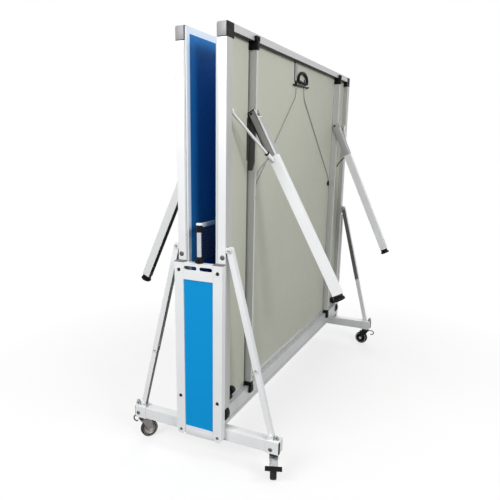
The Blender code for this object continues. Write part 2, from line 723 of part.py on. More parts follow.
def slider_mesh(sign):
    """Block that runs in the post's channel, with the pin that carries the half."""
    half = POST_WIDTH / 2 - POST_WALL - SLIDE
    low_y, high_y = sorted((sign * (POST_BACK_Y + SEAT), sign * (POST_FRONT_Y - POST_WALL - SLIDE)))
    rise = SLIDER_HEIGHT / 2
    block = box((POST_X - half, low_y, PIVOT_Z - rise), (POST_X + half, high_y, PIVOT_Z + rise))
    pin_start = (PIVOT_X, sign * (POST_BACK_Y + POST_WALL), PIVOT_Z)
    pin_end = (PIVOT_X, sign * (SIDE_Y - PIN_REACH), PIVOT_Z)
    return union(block, rod(pin_start, pin_end, PIN_RADIUS))


def strut_mesh(sign):
    """Lower tube and upper channel bolted at a lap, drawn upright on the foot pivot, then leant."""
    hub = stored(STRUT_PIVOT_FROM_NET, STRUT_PIVOT_DEPTH)
    foot = Vector((STRUT_FOOT_X, 0, STRUT_FOOT_Z))
    lean = math.atan2(hub.x - foot.x, hub.z - foot.z)
    length = (hub - foot).length
    tube_half = STRUT_TUBE_DEPTH / 2
    tube = bar_outline((0, 0), (0, STRUT_LAP_HEIGHT), tube_half)
    lower = sweep(tube, "Y", -STRUT_TUBE_WIDTH / 2, STRUT_TUBE_WIDTH / 2)
    half = STRUT_CHANNEL_WIDTH / 2
    deep = STRUT_CHANNEL_DEPTH / 2
    channel = bar_outline((0, STRUT_LAP_HEIGHT), (0, length), deep)
    upper = sweep(channel, "Y", -half, half)
    room = box((-deep * 2, -half + STRUT_WALL, STRUT_LAP_HEIGHT + 2 * tube_half),
               (deep - STRUT_WALL, half - STRUT_WALL, length - 2 * tube_half))
    pin_reach = half + LUG_THICKNESS * 2
    pin = rod((0, -pin_reach, length), (0, pin_reach, length), STRUT_PIN_RADIUS)
    mesh = union(cut(union(lower, upper), room), pin)
    foot.y = sign * STRUT_Y
    mesh.transform(Matrix.Translation(foot) @ Matrix.Rotation(lean, 4, "Y"))
    return mesh


def leg_mesh(sign):
    """Channel over the rail with its pivot pin and brace, drawn hanging from the pivot, then swung."""
    half = LEG_WIDTH / 2
    wall = LEG_WALL
    end = -LEG_TUBE_LENGTH
    cheek = [(-LEG_ROUND, end), (LEG_FRONT, end), (LEG_FRONT, -LEG_WEB_START - wall),
             *arc((0, 0), LEG_ROUND, 0, 180)]
    web_x = LEG_FRONT - wall
    beyond = LEG_FRONT + wall
    room = [(-beyond, end - wall), (web_x, end - wall), (web_x, -LEG_WEB_START),
            (beyond, -LEG_WEB_START), (beyond, beyond), (-beyond, beyond)]
    channel = cut(sweep(cheek, "Y", -half, half), sweep(room, "Y", wall - half, half - wall))
    pin = rod((0, -half - wall, 0), (0, half + wall, 0), LEG_PIN_RADIUS)
    eye_outer = sign * (SIDE_Y - SIDE_EXTRUSION_WIDTH - SEAT - RAIL_Y)
    eye_inner = eye_outer - sign * BRACE_EYE_LENGTH
    eye = rod((0, eye_inner, 0), (0, eye_outer, 0), BRACE_EYE_RADIUS)
    brace_top = (0, (eye_inner + eye_outer) / 2, 0)
    brace = rod(brace_top, (0, sign * (half - wall / 2), -BRACE_DOWN), BRACE_RADIUS, BRACE_STEPS)
    mesh = union(channel, pin, eye, brace)
    mesh.transform(leg_swing(sign))
    return mesh


def leg_swing(sign):
    place = stored(LEG_PIVOT_FROM_NET, LEG_PIVOT_DEPTH, sign * RAIL_Y)
    return Matrix.Translation(place) @ Matrix.Rotation(-LEG_STORED_ANGLE[sign], 4, "Y")


def leveller_mesh(sign):
    """Plug in the leg's end, threaded stem and round pad."""
    half = LEG_WIDTH / 2 - LEG_WALL - SEAT
    front = LEG_FRONT - LEG_WALL - SEAT
    end = -LEG_TUBE_LENGTH
    middle = (front - LEG_ROUND) / 2
    plug = box((-LEG_ROUND, -half, end - SEAT), (front, half, end + FOOT_PLUG_LENGTH))
    stem_top = (middle, 0, end + FOOT_PLUG_LENGTH / 2)
    stem = rod(stem_top, (middle, 0, -LEG_LENGTH + FOOT_HEIGHT / 2), FOOT_STEM_RADIUS)
    pad_top = (middle, 0, -LEG_LENGTH + FOOT_HEIGHT)
    pad = rod(pad_top, (middle, 0, -LEG_LENGTH), FOOT_RADIUS, FINE_STEPS)
    mesh = union(plug, stem, pad)
    mesh.transform(leg_swing(sign))
    return mesh


def handle_mesh():
    """D-shaped loop: a straight bar on the hinge axis and a round bow above it."""
    half = HANDLE_WIDTH / 2
    bow = [(x * half, HANDLE_RISE + z * HANDLE_BOW) for x, z in arc((0, 0), 1, 0, 180, HANDLE_STEPS)]
    points = [(-half, 0), (half, 0), *bow]
    hinge = stored(HANDLE_FROM_NET, HANDLE_DEPTH, HANDLE_SIDE)
    return tube([hinge + Vector((0, across, up)) for across, up in points], HANDLE_RADIUS, cyclic=True)


def cable_route():
    """Corners of the taut cable and their bends: up one rail, over at the handle, down the other."""
    across = RAIL_Y - RAIL_WIDTH / 2 - CABLE_RAIL_GAP
    route = []
    for sign, order in ((-1, 1), (1, -1)):
        strand = CABLE_SIDE + sign * CABLE_SPREAD / 2
        route += [
            (stored(NET_EXTRUSION_WIDTH + SEAT, CABLE_DEPTH, sign * across), 0),
            (stored(HALF_LENGTH - CABLE_GUIDE_FROM_END, CABLE_DEPTH, sign * across), CABLE_GUIDE_BEND),
            (stored(CABLE_TOP - CABLE_DROP, CABLE_DEPTH, strand), CABLE_PART_BEND),
            (stored(CABLE_TOP, CABLE_DEPTH, strand), CABLE_LOOP_BEND),
        ][::order]
    return route


def cable_mesh():
    route = cable_route()
    points = [route[0][0]]
    for (last, _), (corner, bend), (following, _) in zip(route, route[1:], route[2:]):
        before = corner + (last - corner).normalized() * bend
        after = corner + (following - corner).normalized() * bend
        for step in range(CABLE_STEPS + 1):
            share = step / CABLE_STEPS
            points.append(before.lerp(corner, share).lerp(corner.lerp(after, share), share))
    points.append(route[-1][0])
    return tube(points, CABLE_RADIUS)


def build_half(side, trolley):
    lift = pivot(f"{side}_lift_axis", point_for(side, (PIVOT_X, 0, PIVOT_Z)), trolley)
    fold = pivot(f"{side}_fold_axis", point_for(side, (PIVOT_X, 0, PIVOT_Z)), lift)
    shared = [
        ("board", board_mesh(), BLUE_BOARD),
        ("end_apron", end_apron_mesh(), ALUMINIUM),
        ("net_apron", net_apron_mesh(), ALUMINIUM),
        ("release_cable", cable_mesh(), BLACK_PLASTIC),
    ]
    for name, mesh, material in shared:
        add(f"{side}_{name}", turn_for(side, mesh), material, fold)
    for sign in (-1, 1):
        label = f"{side}_{end_for(side, sign)}"
        add(f"{label}_slider", turn_for(side, slider_mesh(sign)), BLACK_PLASTIC, lift)
        add(f"{label}_apron", turn_for(side, side_apron_mesh(sign)), ALUMINIUM, fold)
        add(f"{label}_corner_cap", turn_for(side, corner_cap_mesh(sign)), BLACK_PLASTIC, fold)
        add(f"{label}_rail", turn_for(side, rail_mesh(sign)), WHITE_PAINT, fold)
        hub = stored(STRUT_PIVOT_FROM_NET, STRUT_PIVOT_DEPTH, sign * STRUT_Y)
        strut = pivot(f"{label}_strut_axis", point_for(side, hub), fold)
        add(f"{label}_strut", turn_for(side, strut_mesh(sign)), WHITE_PAINT, strut)
        hip = stored(LEG_PIVOT_FROM_NET, LEG_PIVOT_DEPTH, sign * RAIL_Y)
        leg = pivot(f"{label}_leg_axis", point_for(side, hip), fold)
        add(f"{label}_leg", turn_for(side, leg_mesh(sign)), WHITE_PAINT, leg)
        add(f"{label}_leg_foot", turn_for(side, leveller_mesh(sign)), BLACK_PLASTIC, leg)
    hinge = stored(HANDLE_FROM_NET, HANDLE_DEPTH, HANDLE_SIDE)
    grip = pivot(f"{side}_handle_axis", point_for(side, hinge), fold)
    add(f"{side}_release_handle", turn_for(side, handle_mesh()), BLACK_PLASTIC, grip)


# Casters, drawn with the swivel on Z and the arm trailing along +X

def wheel_mesh():
    edge = WHEEL_WIDTH / 2
    dish = edge - HUB_DISH
    bore = AXLE_RADIUS + RUN
    tread = WHEEL_RADIUS - WHEEL_EDGE
    upper = [(bore, dish), (HUB_RADIUS, dish), (HUB_RADIUS, edge), (tread, edge),
             (WHEEL_RADIUS, edge - WHEEL_EDGE)]
    lower = [(radius, -height) for radius, height in reversed(upper)]
    mesh = turned(upper + lower, FINE_STEPS, ring=True)
    mesh.transform(Matrix.Translation((CASTER_TRAIL, 0, WHEEL_RADIUS)) @ SWEEP["Y"])
    return mesh


def fork_mesh():
    """Bearing, crown, two cheeks and the axle between them."""
    inner, outer = FORK_INNER_Y, FORK_INNER_Y + FORK_WALL
    crown_top = CROWN_BOTTOM + CROWN_HEIGHT
    cheek_top = crown_top - CROWN_HEIGHT / 4
    crown_y = (inner + outer) / 2
    half = FORK_HEAD_LENGTH / 2
    eye = arc((CASTER_TRAIL, WHEEL_RADIUS), AXLE_EYE_RADIUS, -150, 30)
    cheek = [(FORK_WALL - half, cheek_top), *eye, (half + 2 * PEDAL_THICKNESS, cheek_top)]
    pieces = [box((-half, -crown_y, CROWN_BOTTOM), (half, crown_y, crown_top))]
    pieces += [sweep(cheek, "Y", sign * inner, sign * outer) for sign in (-1, 1)]
    bearing_bottom = (0, 0, CROWN_BOTTOM + CROWN_HEIGHT / 2)
    pieces.append(rod(bearing_bottom, (0, 0, BLOCK_BOTTOM - SEAT), BEARING_RADIUS, FINE_STEPS))
    reach = outer + FORK_WALL
    axle_start = (CASTER_TRAIL, -reach, WHEEL_RADIUS)
    pieces.append(rod(axle_start, (CASTER_TRAIL, reach, WHEEL_RADIUS), AXLE_RADIUS))
    return union(*pieces)


def pedal_pivot():
    """Just in front of the crown, between the fork's cheeks."""
    round_end = PEDAL_THICKNESS / 2
    return Vector((FORK_HEAD_LENGTH / 2 + SEAT + round_end, 0, CROWN_BOTTOM + CROWN_HEIGHT - round_end))


def pedal_mesh():
    """Brake pedal: an arm on its axis in front of the crown and a wide tread before the wheel."""
    half = FORK_INNER_Y - SEAT
    arm = sweep(bar_outline((0, 0), (PEDAL_LENGTH, 0), PEDAL_THICKNESS / 2), "Y", -half, half)
    tread_outline = bar_outline((PEDAL_LENGTH, 0), (PEDAL_LENGTH + TREAD_LENGTH, 0), TREAD_THICKNESS / 2)
    mesh = union(arm, sweep(tread_outline, "Y", -TREAD_WIDTH / 2, TREAD_WIDTH / 2))
    mesh.transform(Matrix.Translation(pedal_pivot()) @ Matrix.Rotation(PEDAL_SLOPE, 4, "Y"))
    return mesh


def build_caster(end, side, trolley):
    name = f"{end}_{side}_caster"
    place = Vector((SIDES[side] * CASTER_X, ENDS[end] * FOOT_BAR_Y, 0))
    frame = Matrix.Translation(place) @ Matrix.Rotation(CASTER_HEADING[end, side], 4, "Z")
    swivel = pivot(f"{name}_swivel_axis", place, trolley)
    axle = pivot(f"{name}_axle_axis", frame @ Vector((CASTER_TRAIL, 0, WHEEL_RADIUS)), swivel)
    pieces = [(f"{name}_fork", fork_mesh(), CHROME, swivel),
              (f"{name}_wheel", wheel_mesh(), RUBBER, axle)]
    if (end, side) in BRAKED_CASTERS:
        hinge = pivot(f"{name}_brake_axis", frame @ pedal_pivot(), swivel)
        pieces.append((f"{name}_brake_pedal", pedal_mesh(), BLACK_PLASTIC, hinge))
    for piece_name, mesh, material, carrier in pieces:
        mesh.transform(frame)
        add(piece_name, mesh, material, carrier)


def main():
    trolley = pivot("trolley_origin", (0, 0, 0))
    build_trolley(trolley)
    for side in SIDES:
        build_half(side, trolley)
    for end in ENDS:
        for side in SIDES:
            build_caster(end, side, trolley)


main()
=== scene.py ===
import json
import math

import bmesh
import bpy
from mathutils import Matrix, Vector


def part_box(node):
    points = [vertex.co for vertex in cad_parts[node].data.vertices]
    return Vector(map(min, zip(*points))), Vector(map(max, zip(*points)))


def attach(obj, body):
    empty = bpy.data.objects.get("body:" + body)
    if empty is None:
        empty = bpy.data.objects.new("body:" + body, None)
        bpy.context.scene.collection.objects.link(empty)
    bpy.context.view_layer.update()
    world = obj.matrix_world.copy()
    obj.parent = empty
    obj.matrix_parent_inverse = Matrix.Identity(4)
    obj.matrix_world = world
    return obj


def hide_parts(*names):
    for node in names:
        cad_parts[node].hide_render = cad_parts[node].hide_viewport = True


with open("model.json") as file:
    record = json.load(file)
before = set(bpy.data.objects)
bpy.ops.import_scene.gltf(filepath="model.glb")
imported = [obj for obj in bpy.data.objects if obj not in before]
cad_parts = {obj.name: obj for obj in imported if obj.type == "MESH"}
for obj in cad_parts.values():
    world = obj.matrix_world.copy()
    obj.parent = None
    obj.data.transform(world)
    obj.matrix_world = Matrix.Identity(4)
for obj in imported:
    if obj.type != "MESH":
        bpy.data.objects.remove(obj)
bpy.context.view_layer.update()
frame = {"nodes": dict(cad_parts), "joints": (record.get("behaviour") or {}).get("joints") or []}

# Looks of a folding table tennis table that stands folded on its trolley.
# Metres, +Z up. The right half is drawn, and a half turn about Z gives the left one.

NODES = frame["nodes"]
JOINTS = {joint["name"]: joint for joint in frame["joints"]}

# Camera, fitted to the photograph's 500 pixel frame
IMAGE_SIZE = 500
FOCAL_PIXELS = 524.7
CENTRE_PIXELS = (226.6, 279.8)
CAMERA_PLACE = Vector((0.876, -2.317, 1.146))
CAMERA_YAW = math.radians(26.61)
CAMERA_PITCH = math.radians(14.09)
CAMERA_ROLL = math.radians(0.36)
SENSOR_WIDTH = 36.0

# Places taken from the frame
UNTURNED = Matrix.Identity(4)
HALF_TURN = Matrix.Rotation(math.pi, 4, "Z")
SIDES = {"right": 1, "left": -1}
ENDS = {"near": -1, "far": 1}
TURN = {"right": UNTURNED, "near": UNTURNED, "left": HALF_TURN, "far": HALF_TURN}
BOARD_LOW, BOARD_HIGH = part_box("right_board")
FACE_X, UNDER_X = BOARD_LOW.x, BOARD_HIGH.x
END_APRON_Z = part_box("right_end_apron")[0].z
NET_APRON_LOW, NET_APRON_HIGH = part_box("right_net_apron")
APRON_X = NET_APRON_HIGH.x
FLANGE_Y = NET_APRON_HIGH.y      # inner edge of a side apron
SIDE_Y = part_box("right_far_apron")[1].y
RAIL_LOW, RAIL_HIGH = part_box("right_far_rail")
RAIL_Y, RAIL_HALF = (RAIL_LOW.y + RAIL_HIGH.y) / 2, (RAIL_HIGH.y - RAIL_LOW.y) / 2
POST_LOW, POST_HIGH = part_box("far_right_post")
POST_X = (POST_LOW.x + POST_HIGH.x) / 2
BASE_LOW, BASE_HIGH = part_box("base_frame")
BLOCK_TOP = 0.144            # top of the foot bars' end blocks
HIP = Vector(JOINTS["right_far_leg_swing"]["pos_m"])
LEG_ALONG = {-1: Vector(JOINTS["right_near_foot_screw"]["axis"]),
             1: Vector(JOINTS["right_far_foot_screw"]["axis"])}
HINGE = Vector(JOINTS["right_release"]["pos_m"])
STRUT_TOP = Vector(JOINTS["right_far_strut_swing"]["pos_m"])
STRUT_FOOT = Vector((0.272, STRUT_TOP.y, 0.1575))
STRUT_LAP_UP = 0.245         # strut's foot to the bolt of its lap
STRUT_LAP = STRUT_FOOT + (STRUT_TOP - STRUT_FOOT).normalized() * STRUT_LAP_UP
NET_LOW, NET_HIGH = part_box("net")

SMOOTH = math.radians(35)
EDGE = 0.0006               # usual rounding of a small part's edges
SEAT = 0.0001               # gap between a thin piece and what carries it
ON_BOARD = UNDER_X + SEAT
FACING = 0.9                # share of a normal along an axis, from which a face looks that way
SQUARE = ((-1, -1), (1, -1), (1, 1), (-1, 1))


# Shapes, each a mesh in place

def pointing(at, axis):
    """Moves a shape drawn along Z to a point, with Z along an axis."""
    return Matrix.Translation(at) @ Vector(axis).to_track_quat("Z", "Y").to_matrix().to_4x4()


def standing(at, x, y, z):
    """Moves a shape to a point, with its X, Y and Z along three axes."""
    return Matrix.Translation(at) @ Matrix((x, y, z)).transposed().to_4x4()


def upright(y):
    """Stands an outline up in the XZ plane at a place along Y, thickened towards +Y."""
    return standing((0, y, 0), (1, 0, 0), (0, 0, 1), (0, 1, 0))


def finished(edit, place=None, name="shape"):
    """The mesh of an edit, moved to its place. Its faces agree, but after a turn all may look inwards."""
    if place:
        edit.transform(place)
    bmesh.ops.recalc_face_normals(edit, faces=edit.faces)
    mesh = bpy.data.meshes.new(name)
    edit.to_mesh(mesh)
    edit.free()
    return mesh


def rounded(edit, width):
    if width:
        sharp = [e for e in edit.edges if len(e.link_faces) == 2 and e.calc_face_angle() > SMOOTH]
        bmesh.ops.bevel(edit, geom=sharp, offset=width, segments=2, profile=0.5, affect="EDGES",
                        clamp_overlap=True)


def block(low, high, bevel=EDGE, place=None):
    """A box with rounded edges."""
    edit = bmesh.new()
    bmesh.ops.create_cube(edit, size=1.0)
    bmesh.ops.scale(edit, vec=[abs(b - a) for a, b in zip(low, high)], verts=edit.verts)
    bmesh.ops.translate(edit, vec=[(a + b) / 2 for a, b in zip(low, high)], verts=edit.verts)
    rounded(edit, bevel)
    return finished(edit, place)


def plate(outline, thickness, bevel=EDGE, place=None):
    """A flat outline in XY, thickened along Z, with rounded edges."""
    edit = bmesh.new()
    face = edit.faces.new([edit.verts.new((x, y, 0)) for x, y in outline])
    grown = bmesh.ops.extrude_face_region(edit, geom=[face])
    moved = [item for item in grown["geom"] if isinstance(item, bmesh.types.BMVert)]
    bmesh.ops.translate(edit, vec=(0, 0, thickness), verts=moved)
    rounded(edit, bevel)
    return finished(edit, place)


def skin(rings, cyclic=False, capped=True, place=None):
    """A mesh through rings of points, joined one to the next. A ring of one point is a tip."""
    edit = bmesh.new()
    loops = [[edit.verts.new(point) for point in ring] for ring in rings]
    pairs = list(zip(loops, loops[1:]))
    if cyclic:
        pairs.append((loops[-1], loops[0]))
    elif capped:
        edit.faces.new(loops[0])
        edit.faces.new(loops[-1])
    count = max(len(loop) for loop in loops)
    for first, second in pairs:
        for i in range(count):
            j = (i + 1) % count
            corners = [first[i % len(first)], first[j % len(first)],
                       second[j % len(second)], second[i % len(second)]]
            edit.faces.new(list(dict.fromkeys(corners)))
    return finished(edit, place)


def hexagon(angle):
    """How far a hexagon's side is from its middle, for a corner circle of 1."""
    sector = math.pi / 3
    return math.cos(sector / 2) / math.cos(angle % sector - sector / 2)


def lathe(profile, steps=32, place=None, ring=False):
    """A (radius, height) profile turned about Z. A third value of True makes that ring a hexagon."""
    angles = [2 * math.pi * i / steps for i in range(steps)]
    rings = []
    for radius, height, *six in profile:
        reach = [radius * (hexagon(a) if six else 1) for a in angles]
        turned = [(r * math.cos(a), r * math.sin(a), height) for r, a in zip(reach, angles)]
        rings.append(turned if radius else [(0, 0, height)])
    return skin(rings, ring, False, place)


def tube(points, radius, sides=12):
    """A round bar along points, capped at both ends."""
    points = [Vector(p) for p in points]
    angles = [2 * math.pi * k / sides for k in range(sides)]
    rings = []
    normal = None
    for i, point in enumerate(points):
        along = (points[min(i + 1, len(points) - 1)] - points[max(i - 1, 0)]).normalized()
        normal = along.orthogonal() if normal is None else normal - along * normal.dot(along)
        normal.normalize()
        across = along.cross(normal)
        rings.append([point + radius * (math.cos(a) * normal + math.sin(a) * across) for a in angles])
    return skin(rings)


def arc(middle, radius, start, end, steps=8):
    """Points along a circular arc, angles in degrees."""
    angles = [math.radians(start + (end - start) * i / steps) for i in range(steps + 1)]
    return [(middle[0] + radius * math.cos(a), middle[1] + radius * math.sin(a)) for a in angles]


def round_rectangle(width, height, radius):
    """Outline of a rectangle about the origin, with round corners."""
    x, y = width / 2 - radius, height / 2 - radius
    return (arc((x, y), radius, 0, 90) + arc((-x, y), radius, 90, 180)
            + arc((-x, -y), radius, 180, 270) + arc((x, -y), radius, 270, 360))


def button_head(at, axis, radius=0.0055, rise=0.0034):
    """A domed bolt head with a hexagon socket, standing on a face."""
    socket = radius * 0.5
    profile = [(0, rise * 0.3), (socket, rise * 0.3, True), (socket, rise * 0.98, True),
               (radius * 0.62, rise), (radius * 0.86, rise * 0.72), (radius, rise * 0.25),
               (radius, -rise * 0.2), (0, -rise * 0.2)]
    return lathe(profile, 24, pointing(at, axis))


def hexagon_nut(at, axis, radius=0.0065, rise=0.005):
    """A nut on its washer, with the thread's end in its middle."""
    washer, thread = radius * 1.35, radius * 0.55
    profile = [(0, 0), (washer, 0), (washer, 0.0012), (radius, 0.0012, True), (radius, rise * 0.9, True),
               (radius * 0.8, rise), (thread, rise), (thread, rise * 1.25), (0, rise * 1.3)]
    return lathe(profile, 24, pointing(at, axis))


def pan_screw(at, axis, radius=0.004):
    """A small pan-head screw with a recess in its middle."""
    profile = [(0, radius * 0.2), (radius * 0.35, radius * 0.45), (radius * 0.7, radius * 0.5),
               (radius, radius * 0.2), (radius, -0.0002), (0, -0.0002)]
    return lathe(profile, 16, pointing(at, axis))


# Materials

def add_node(tree, kind, links=(), **values):
    """A new shader node with its settings, and its sockets linked or set."""
    item = tree.nodes.new(kind)
    for name, value in values.items():
        setattr(item, name, value)
    for socket, value in links:
        if isinstance(value, bpy.types.NodeSocket):
            tree.links.new(value, item.inputs[socket])
        else:
            item.inputs[socket].default_value = value
    return item


def shade(colour, factor):
    return tuple(min(1.0, c * factor) for c in colour)


class Surface:
    """A material whose colour, gloss and relief come from procedural textures."""

    def __init__(self, name, roughness=0.5, metallic=0.0, specular=0.5):
        self.material = bpy.data.materials.new(name)
        self.material.use_nodes = True
        self.tree = self.material.node_tree
        self.shader = self.tree.nodes["Principled BSDF"]
        self.shader.inputs["Roughness"].default_value = roughness
        self.shader.inputs["Metallic"].default_value = metallic
        self.shader.inputs["Specular IOR Level"].default_value = specular

    def node(self, kind, links=(), **values):
        return add_node(self.tree, kind, links, **values)

    def place(self, stretch=(1, 1, 1)):
        """The point on the piece in metres, stretched for directional textures."""
        coordinates = self.node("ShaderNodeTexCoord").outputs["Object"]
        return self.node("ShaderNodeMapping", [("Vector", coordinates), ("Scale", stretch)]).outputs[0]

    def noise(self, scale, detail=3.0, stretch=(1, 1, 1), rough=0.5):
        return self.node("ShaderNodeTexNoise", [("Vector", self.place(stretch)), ("Scale", scale),
                                                ("Detail", detail), ("Roughness", rough)]).outputs["Fac"]

    def spread(self, value, low, high, start=0.3, end=0.7):
        """Carries a texture's usual range over to low and high."""
        return self.node("ShaderNodeMapRange", [(0, value), (1, start), (2, end), (3, low), (4, high)],
                         clamp=True).outputs[0]

    def mix(self, share, first, second):
        colours = [c if isinstance(c, bpy.types.NodeSocket) else (*c, 1) for c in (first, second)]
        links = [(0, share), (6, colours[0]), (7, colours[1])]
        return self.node("ShaderNodeMix", links, data_type="RGBA").outputs[2]

    def maths(self, operation, first, second):
        return self.node("ShaderNodeMath", [(0, first), (1, second)], operation=operation).outputs[0]

    def clouded(self, scale, colour, dark, pale):
        """The colour in soft clouds, from a darker to a paler shade."""
        return self.mix(self.spread(self.noise(scale), 0.0, 1.0), shade(colour, dark), shade(colour, pale))

    def corners(self, reach, dark):
        """A share that rises in corners and gaps, found by ambient occlusion, for painted shade there."""
        open_sky = self.node("ShaderNodeAmbientOcclusion", [("Distance", reach)], samples=8)
        return self.spread(open_sky.outputs["AO"], dark, 0.0, 0.25, 0.85)

    def finish(self, colour, gloss, height, depth, strength):
        """The material, with its colour, gloss and relief linked to the shader."""
        bump = self.node("ShaderNodeBump", [("Height", height), ("Distance", depth), ("Strength", strength)])
        for socket, output in (("Base Color", colour), ("Roughness", gloss), ("Normal", bump.outputs[0])):
            self.tree.links.new(output, self.shader.inputs[socket])
        return self.material


def paint(name, colour, roughness=0.34):
    """Powder coat: orange peel, a little cloud in its colour, painted shade in the corners."""
    s = Surface(name, roughness)
    body = s.mix(s.corners(0.012, 0.35), s.clouded(5.0, colour, 0.965, 1.02), shade(colour, 0.55))
    gloss = s.spread(s.noise(40.0, 4.0), roughness - 0.06, roughness + 0.08)
    return s.finish(body, gloss, s.noise(650.0, 2.0), 0.00012, 0.5)


def aluminium(name, colour, stretch, roughness=0.36, metallic=0.35):
    """Satin extrusion with fine lines along its length."""
    s = Surface(name, roughness, metallic)
    lines = s.noise(260.0, 4.0, stretch, 0.6)
    body = s.mix(s.spread(lines, 0.0, 0.25), s.clouded(4.0, colour, 0.96, 1.02), shade(colour, 0.82))
    # darker in corners and gaps, by ambient occlusion: painted shade
    body = s.mix(s.corners(0.010, 0.3), body, shade(colour, 0.5))
    return s.finish(body, s.spread(lines, roughness - 0.07, roughness + 0.10), lines, 0.00008, 0.4)


def plastic(name, colour, roughness, specular=0.5):
    """Moulded plastic with a fine eroded grain and paler rubbed patches."""
    s = Surface(name, roughness, specular=specular)
    rub = s.spread(s.noise(22.0, 5.0), 0.0, 1.0, 0.45, 0.75)
    gloss = s.spread(s.noise(60.0, 4.0), roughness - 0.08, roughness + 0.12)
    return s.finish(s.mix(rub, colour, shade(colour, 1.5)), gloss, s.noise(900.0, 3.0), 0.00012, 0.6)


def film(name, colour, roughness=0.45):
    """Film on a flat panel: even colour with a faint cloud and fine scratches."""
    s = Surface(name, roughness, specular=0.2)
    scratch = s.spread(s.noise(120.0, 2.0, (1, 1, 0.04)), 0.0, 0.2, 0.62, 0.8)
    body = s.mix(scratch, s.clouded(3.0, colour, 0.97, 1.02), shade(colour, 1.12))
    gloss = s.spread(s.noise(50.0, 4.0), roughness - 0.05, roughness + 0.08)
    return s.finish(body, gloss, s.noise(500.0, 2.0), 0.00008, 0.4)


def rubber(name, colour, dust_colour):
    """Tyre rubber, greyed by floor dust."""
    s = Surface(name, 0.7, specular=0.25)
    dust = s.spread(s.noise(90.0, 5.0), 0.0, 0.8, 0.45, 0.7)
    gloss = s.spread(s.noise(140.0, 3.0), 0.55, 0.85)
    return s.finish(s.mix(dust, colour, dust_colour), gloss, s.noise(1400.0, 2.0), 0.0001, 0.6)


def plated(name, colour, roughness, stretch=(1, 1, 1)):
    """Plated steel with cloudy gloss and fine drawn lines."""
    s = Surface(name, roughness, 1.0)
    lines = s.noise(420.0, 3.0, stretch)
    body = s.mix(s.spread(s.noise(30.0, 4.0), 0.0, 1.0), shade(colour, 0.85), colour)
    return s.finish(body, s.spread(lines, roughness - 0.06, roughness + 0.12), lines, 0.00005, 0.35)


def playing_coat(name, colour):
    """Matt lacquer rolled on the playing face: fine stipple and faint ball marks."""
    s = Surface(name, 0.55, specular=0.35)
    marks = s.spread(s.noise(14.0, 6.0, rough=0.7), 0.0, 0.35, 0.55, 0.8)
    body = s.mix(marks, s.clouded(2.5, colour, 0.93, 1.04), shade(colour, 1.22))
    return s.finish(body, s.spread(s.noise(70.0, 4.0), 0.48, 0.66), s.noise(1100.0, 2.0), 0.0001, 0.5)


def board_back(name, colour):
    """Sealed underside of the board: pale grey-green with a faint fleck of the chips below."""
    s = Surface(name, 0.5, specular=0.4)
    fleck = s.spread(s.noise(190.0, 5.0, rough=0.7), 0.0, 0.16, 0.5, 0.72)
    body = s.mix(fleck, s.clouded(1.6, colour, 0.95, 1.03), shade(colour, 0.72))
    return s.finish(body, s.spread(s.noise(45.0, 4.0), 0.42, 0.58), s.noise(420.0, 4.0), 0.00012, 0.4)


def woven(name, colour, pitch, roughness=0.85):
    """Cloth tape: crossing threads at a fine pitch."""
    s = Surface(name, roughness, specular=0.2)
    spot = s.node("ShaderNodeSeparateXYZ", [(0, s.place())]).outputs
    warp, weft = [s.maths("SINE", s.maths("MULTIPLY", spot[axis], 2 * math.pi / pitch), 0.0) for axis in "YZ"]
    weave = s.spread(s.maths("MULTIPLY", warp, weft), 0.0, 1.0, -1.0, 1.0)
    body = s.mix(weave, shade(colour, 0.72), shade(colour, 1.05))
    gloss = s.spread(s.noise(300.0), roughness - 0.08, roughness + 0.08)
    return s.finish(body, gloss, weave, 0.0003, 0.8)


def wire_rope(name, colour):
    """Thin steel rope in a clear sleeve: strands that run round it at a slant."""
    s = Surface(name, 0.38, 0.3)
    links = [("Vector", s.place()), ("Scale", 260.0), ("Distortion", 0.6)]
    strands = s.node("ShaderNodeTexWave", links, bands_direction="DIAGONAL").outputs["Fac"]
    body = s.mix(strands, shade(colour, 0.45), colour)
    return s.finish(body, s.spread(s.noise(200.0), 0.3, 0.5), strands, 0.0004, 0.7)


WHITE = paint("white_powder_coat", (0.80, 0.81, 0.82))
RAIL_GREY = aluminium("rail_aluminium", (0.56, 0.57, 0.56), (1, 1, 0.03), 0.38, 0.4)
# the side apron's outer face is lighter and its flange darker: partly a whiter outer face, partly painted
# light and shade
SIDE_ALUMINIUM = aluminium("side_aluminium", (0.80, 0.81, 0.82), (1, 1, 0.02), metallic=0.1)
SHADED_FLANGE_ALUMINIUM = aluminium("flange_aluminium_painted_shade", (0.50, 0.505, 0.49), (1, 1, 0.02))
END_ALUMINIUM = aluminium("end_aluminium", (0.58, 0.59, 0.59), (1, 0.02, 1))
# near-black paint for painted shade: under the end aprons, in the apron seams, along the rails' feet and for
# the stored legs' shadows
PAINTED_DEEP_SHADE = paint("painted_deep_shade", (0.055, 0.055, 0.05), 0.6)
SHADED = paint("shaded_inside", (0.13, 0.13, 0.126), 0.5)
EDGE_BAND = aluminium("board_edge_band", (0.72, 0.73, 0.74), (1, 1, 0.02), 0.45, 0.0)
BLUE_COAT = playing_coat("blue_playing_coat", (0.010, 0.175, 0.48))
BEIGE_BACK = board_back("pale_board_back", (0.52, 0.53, 0.445))
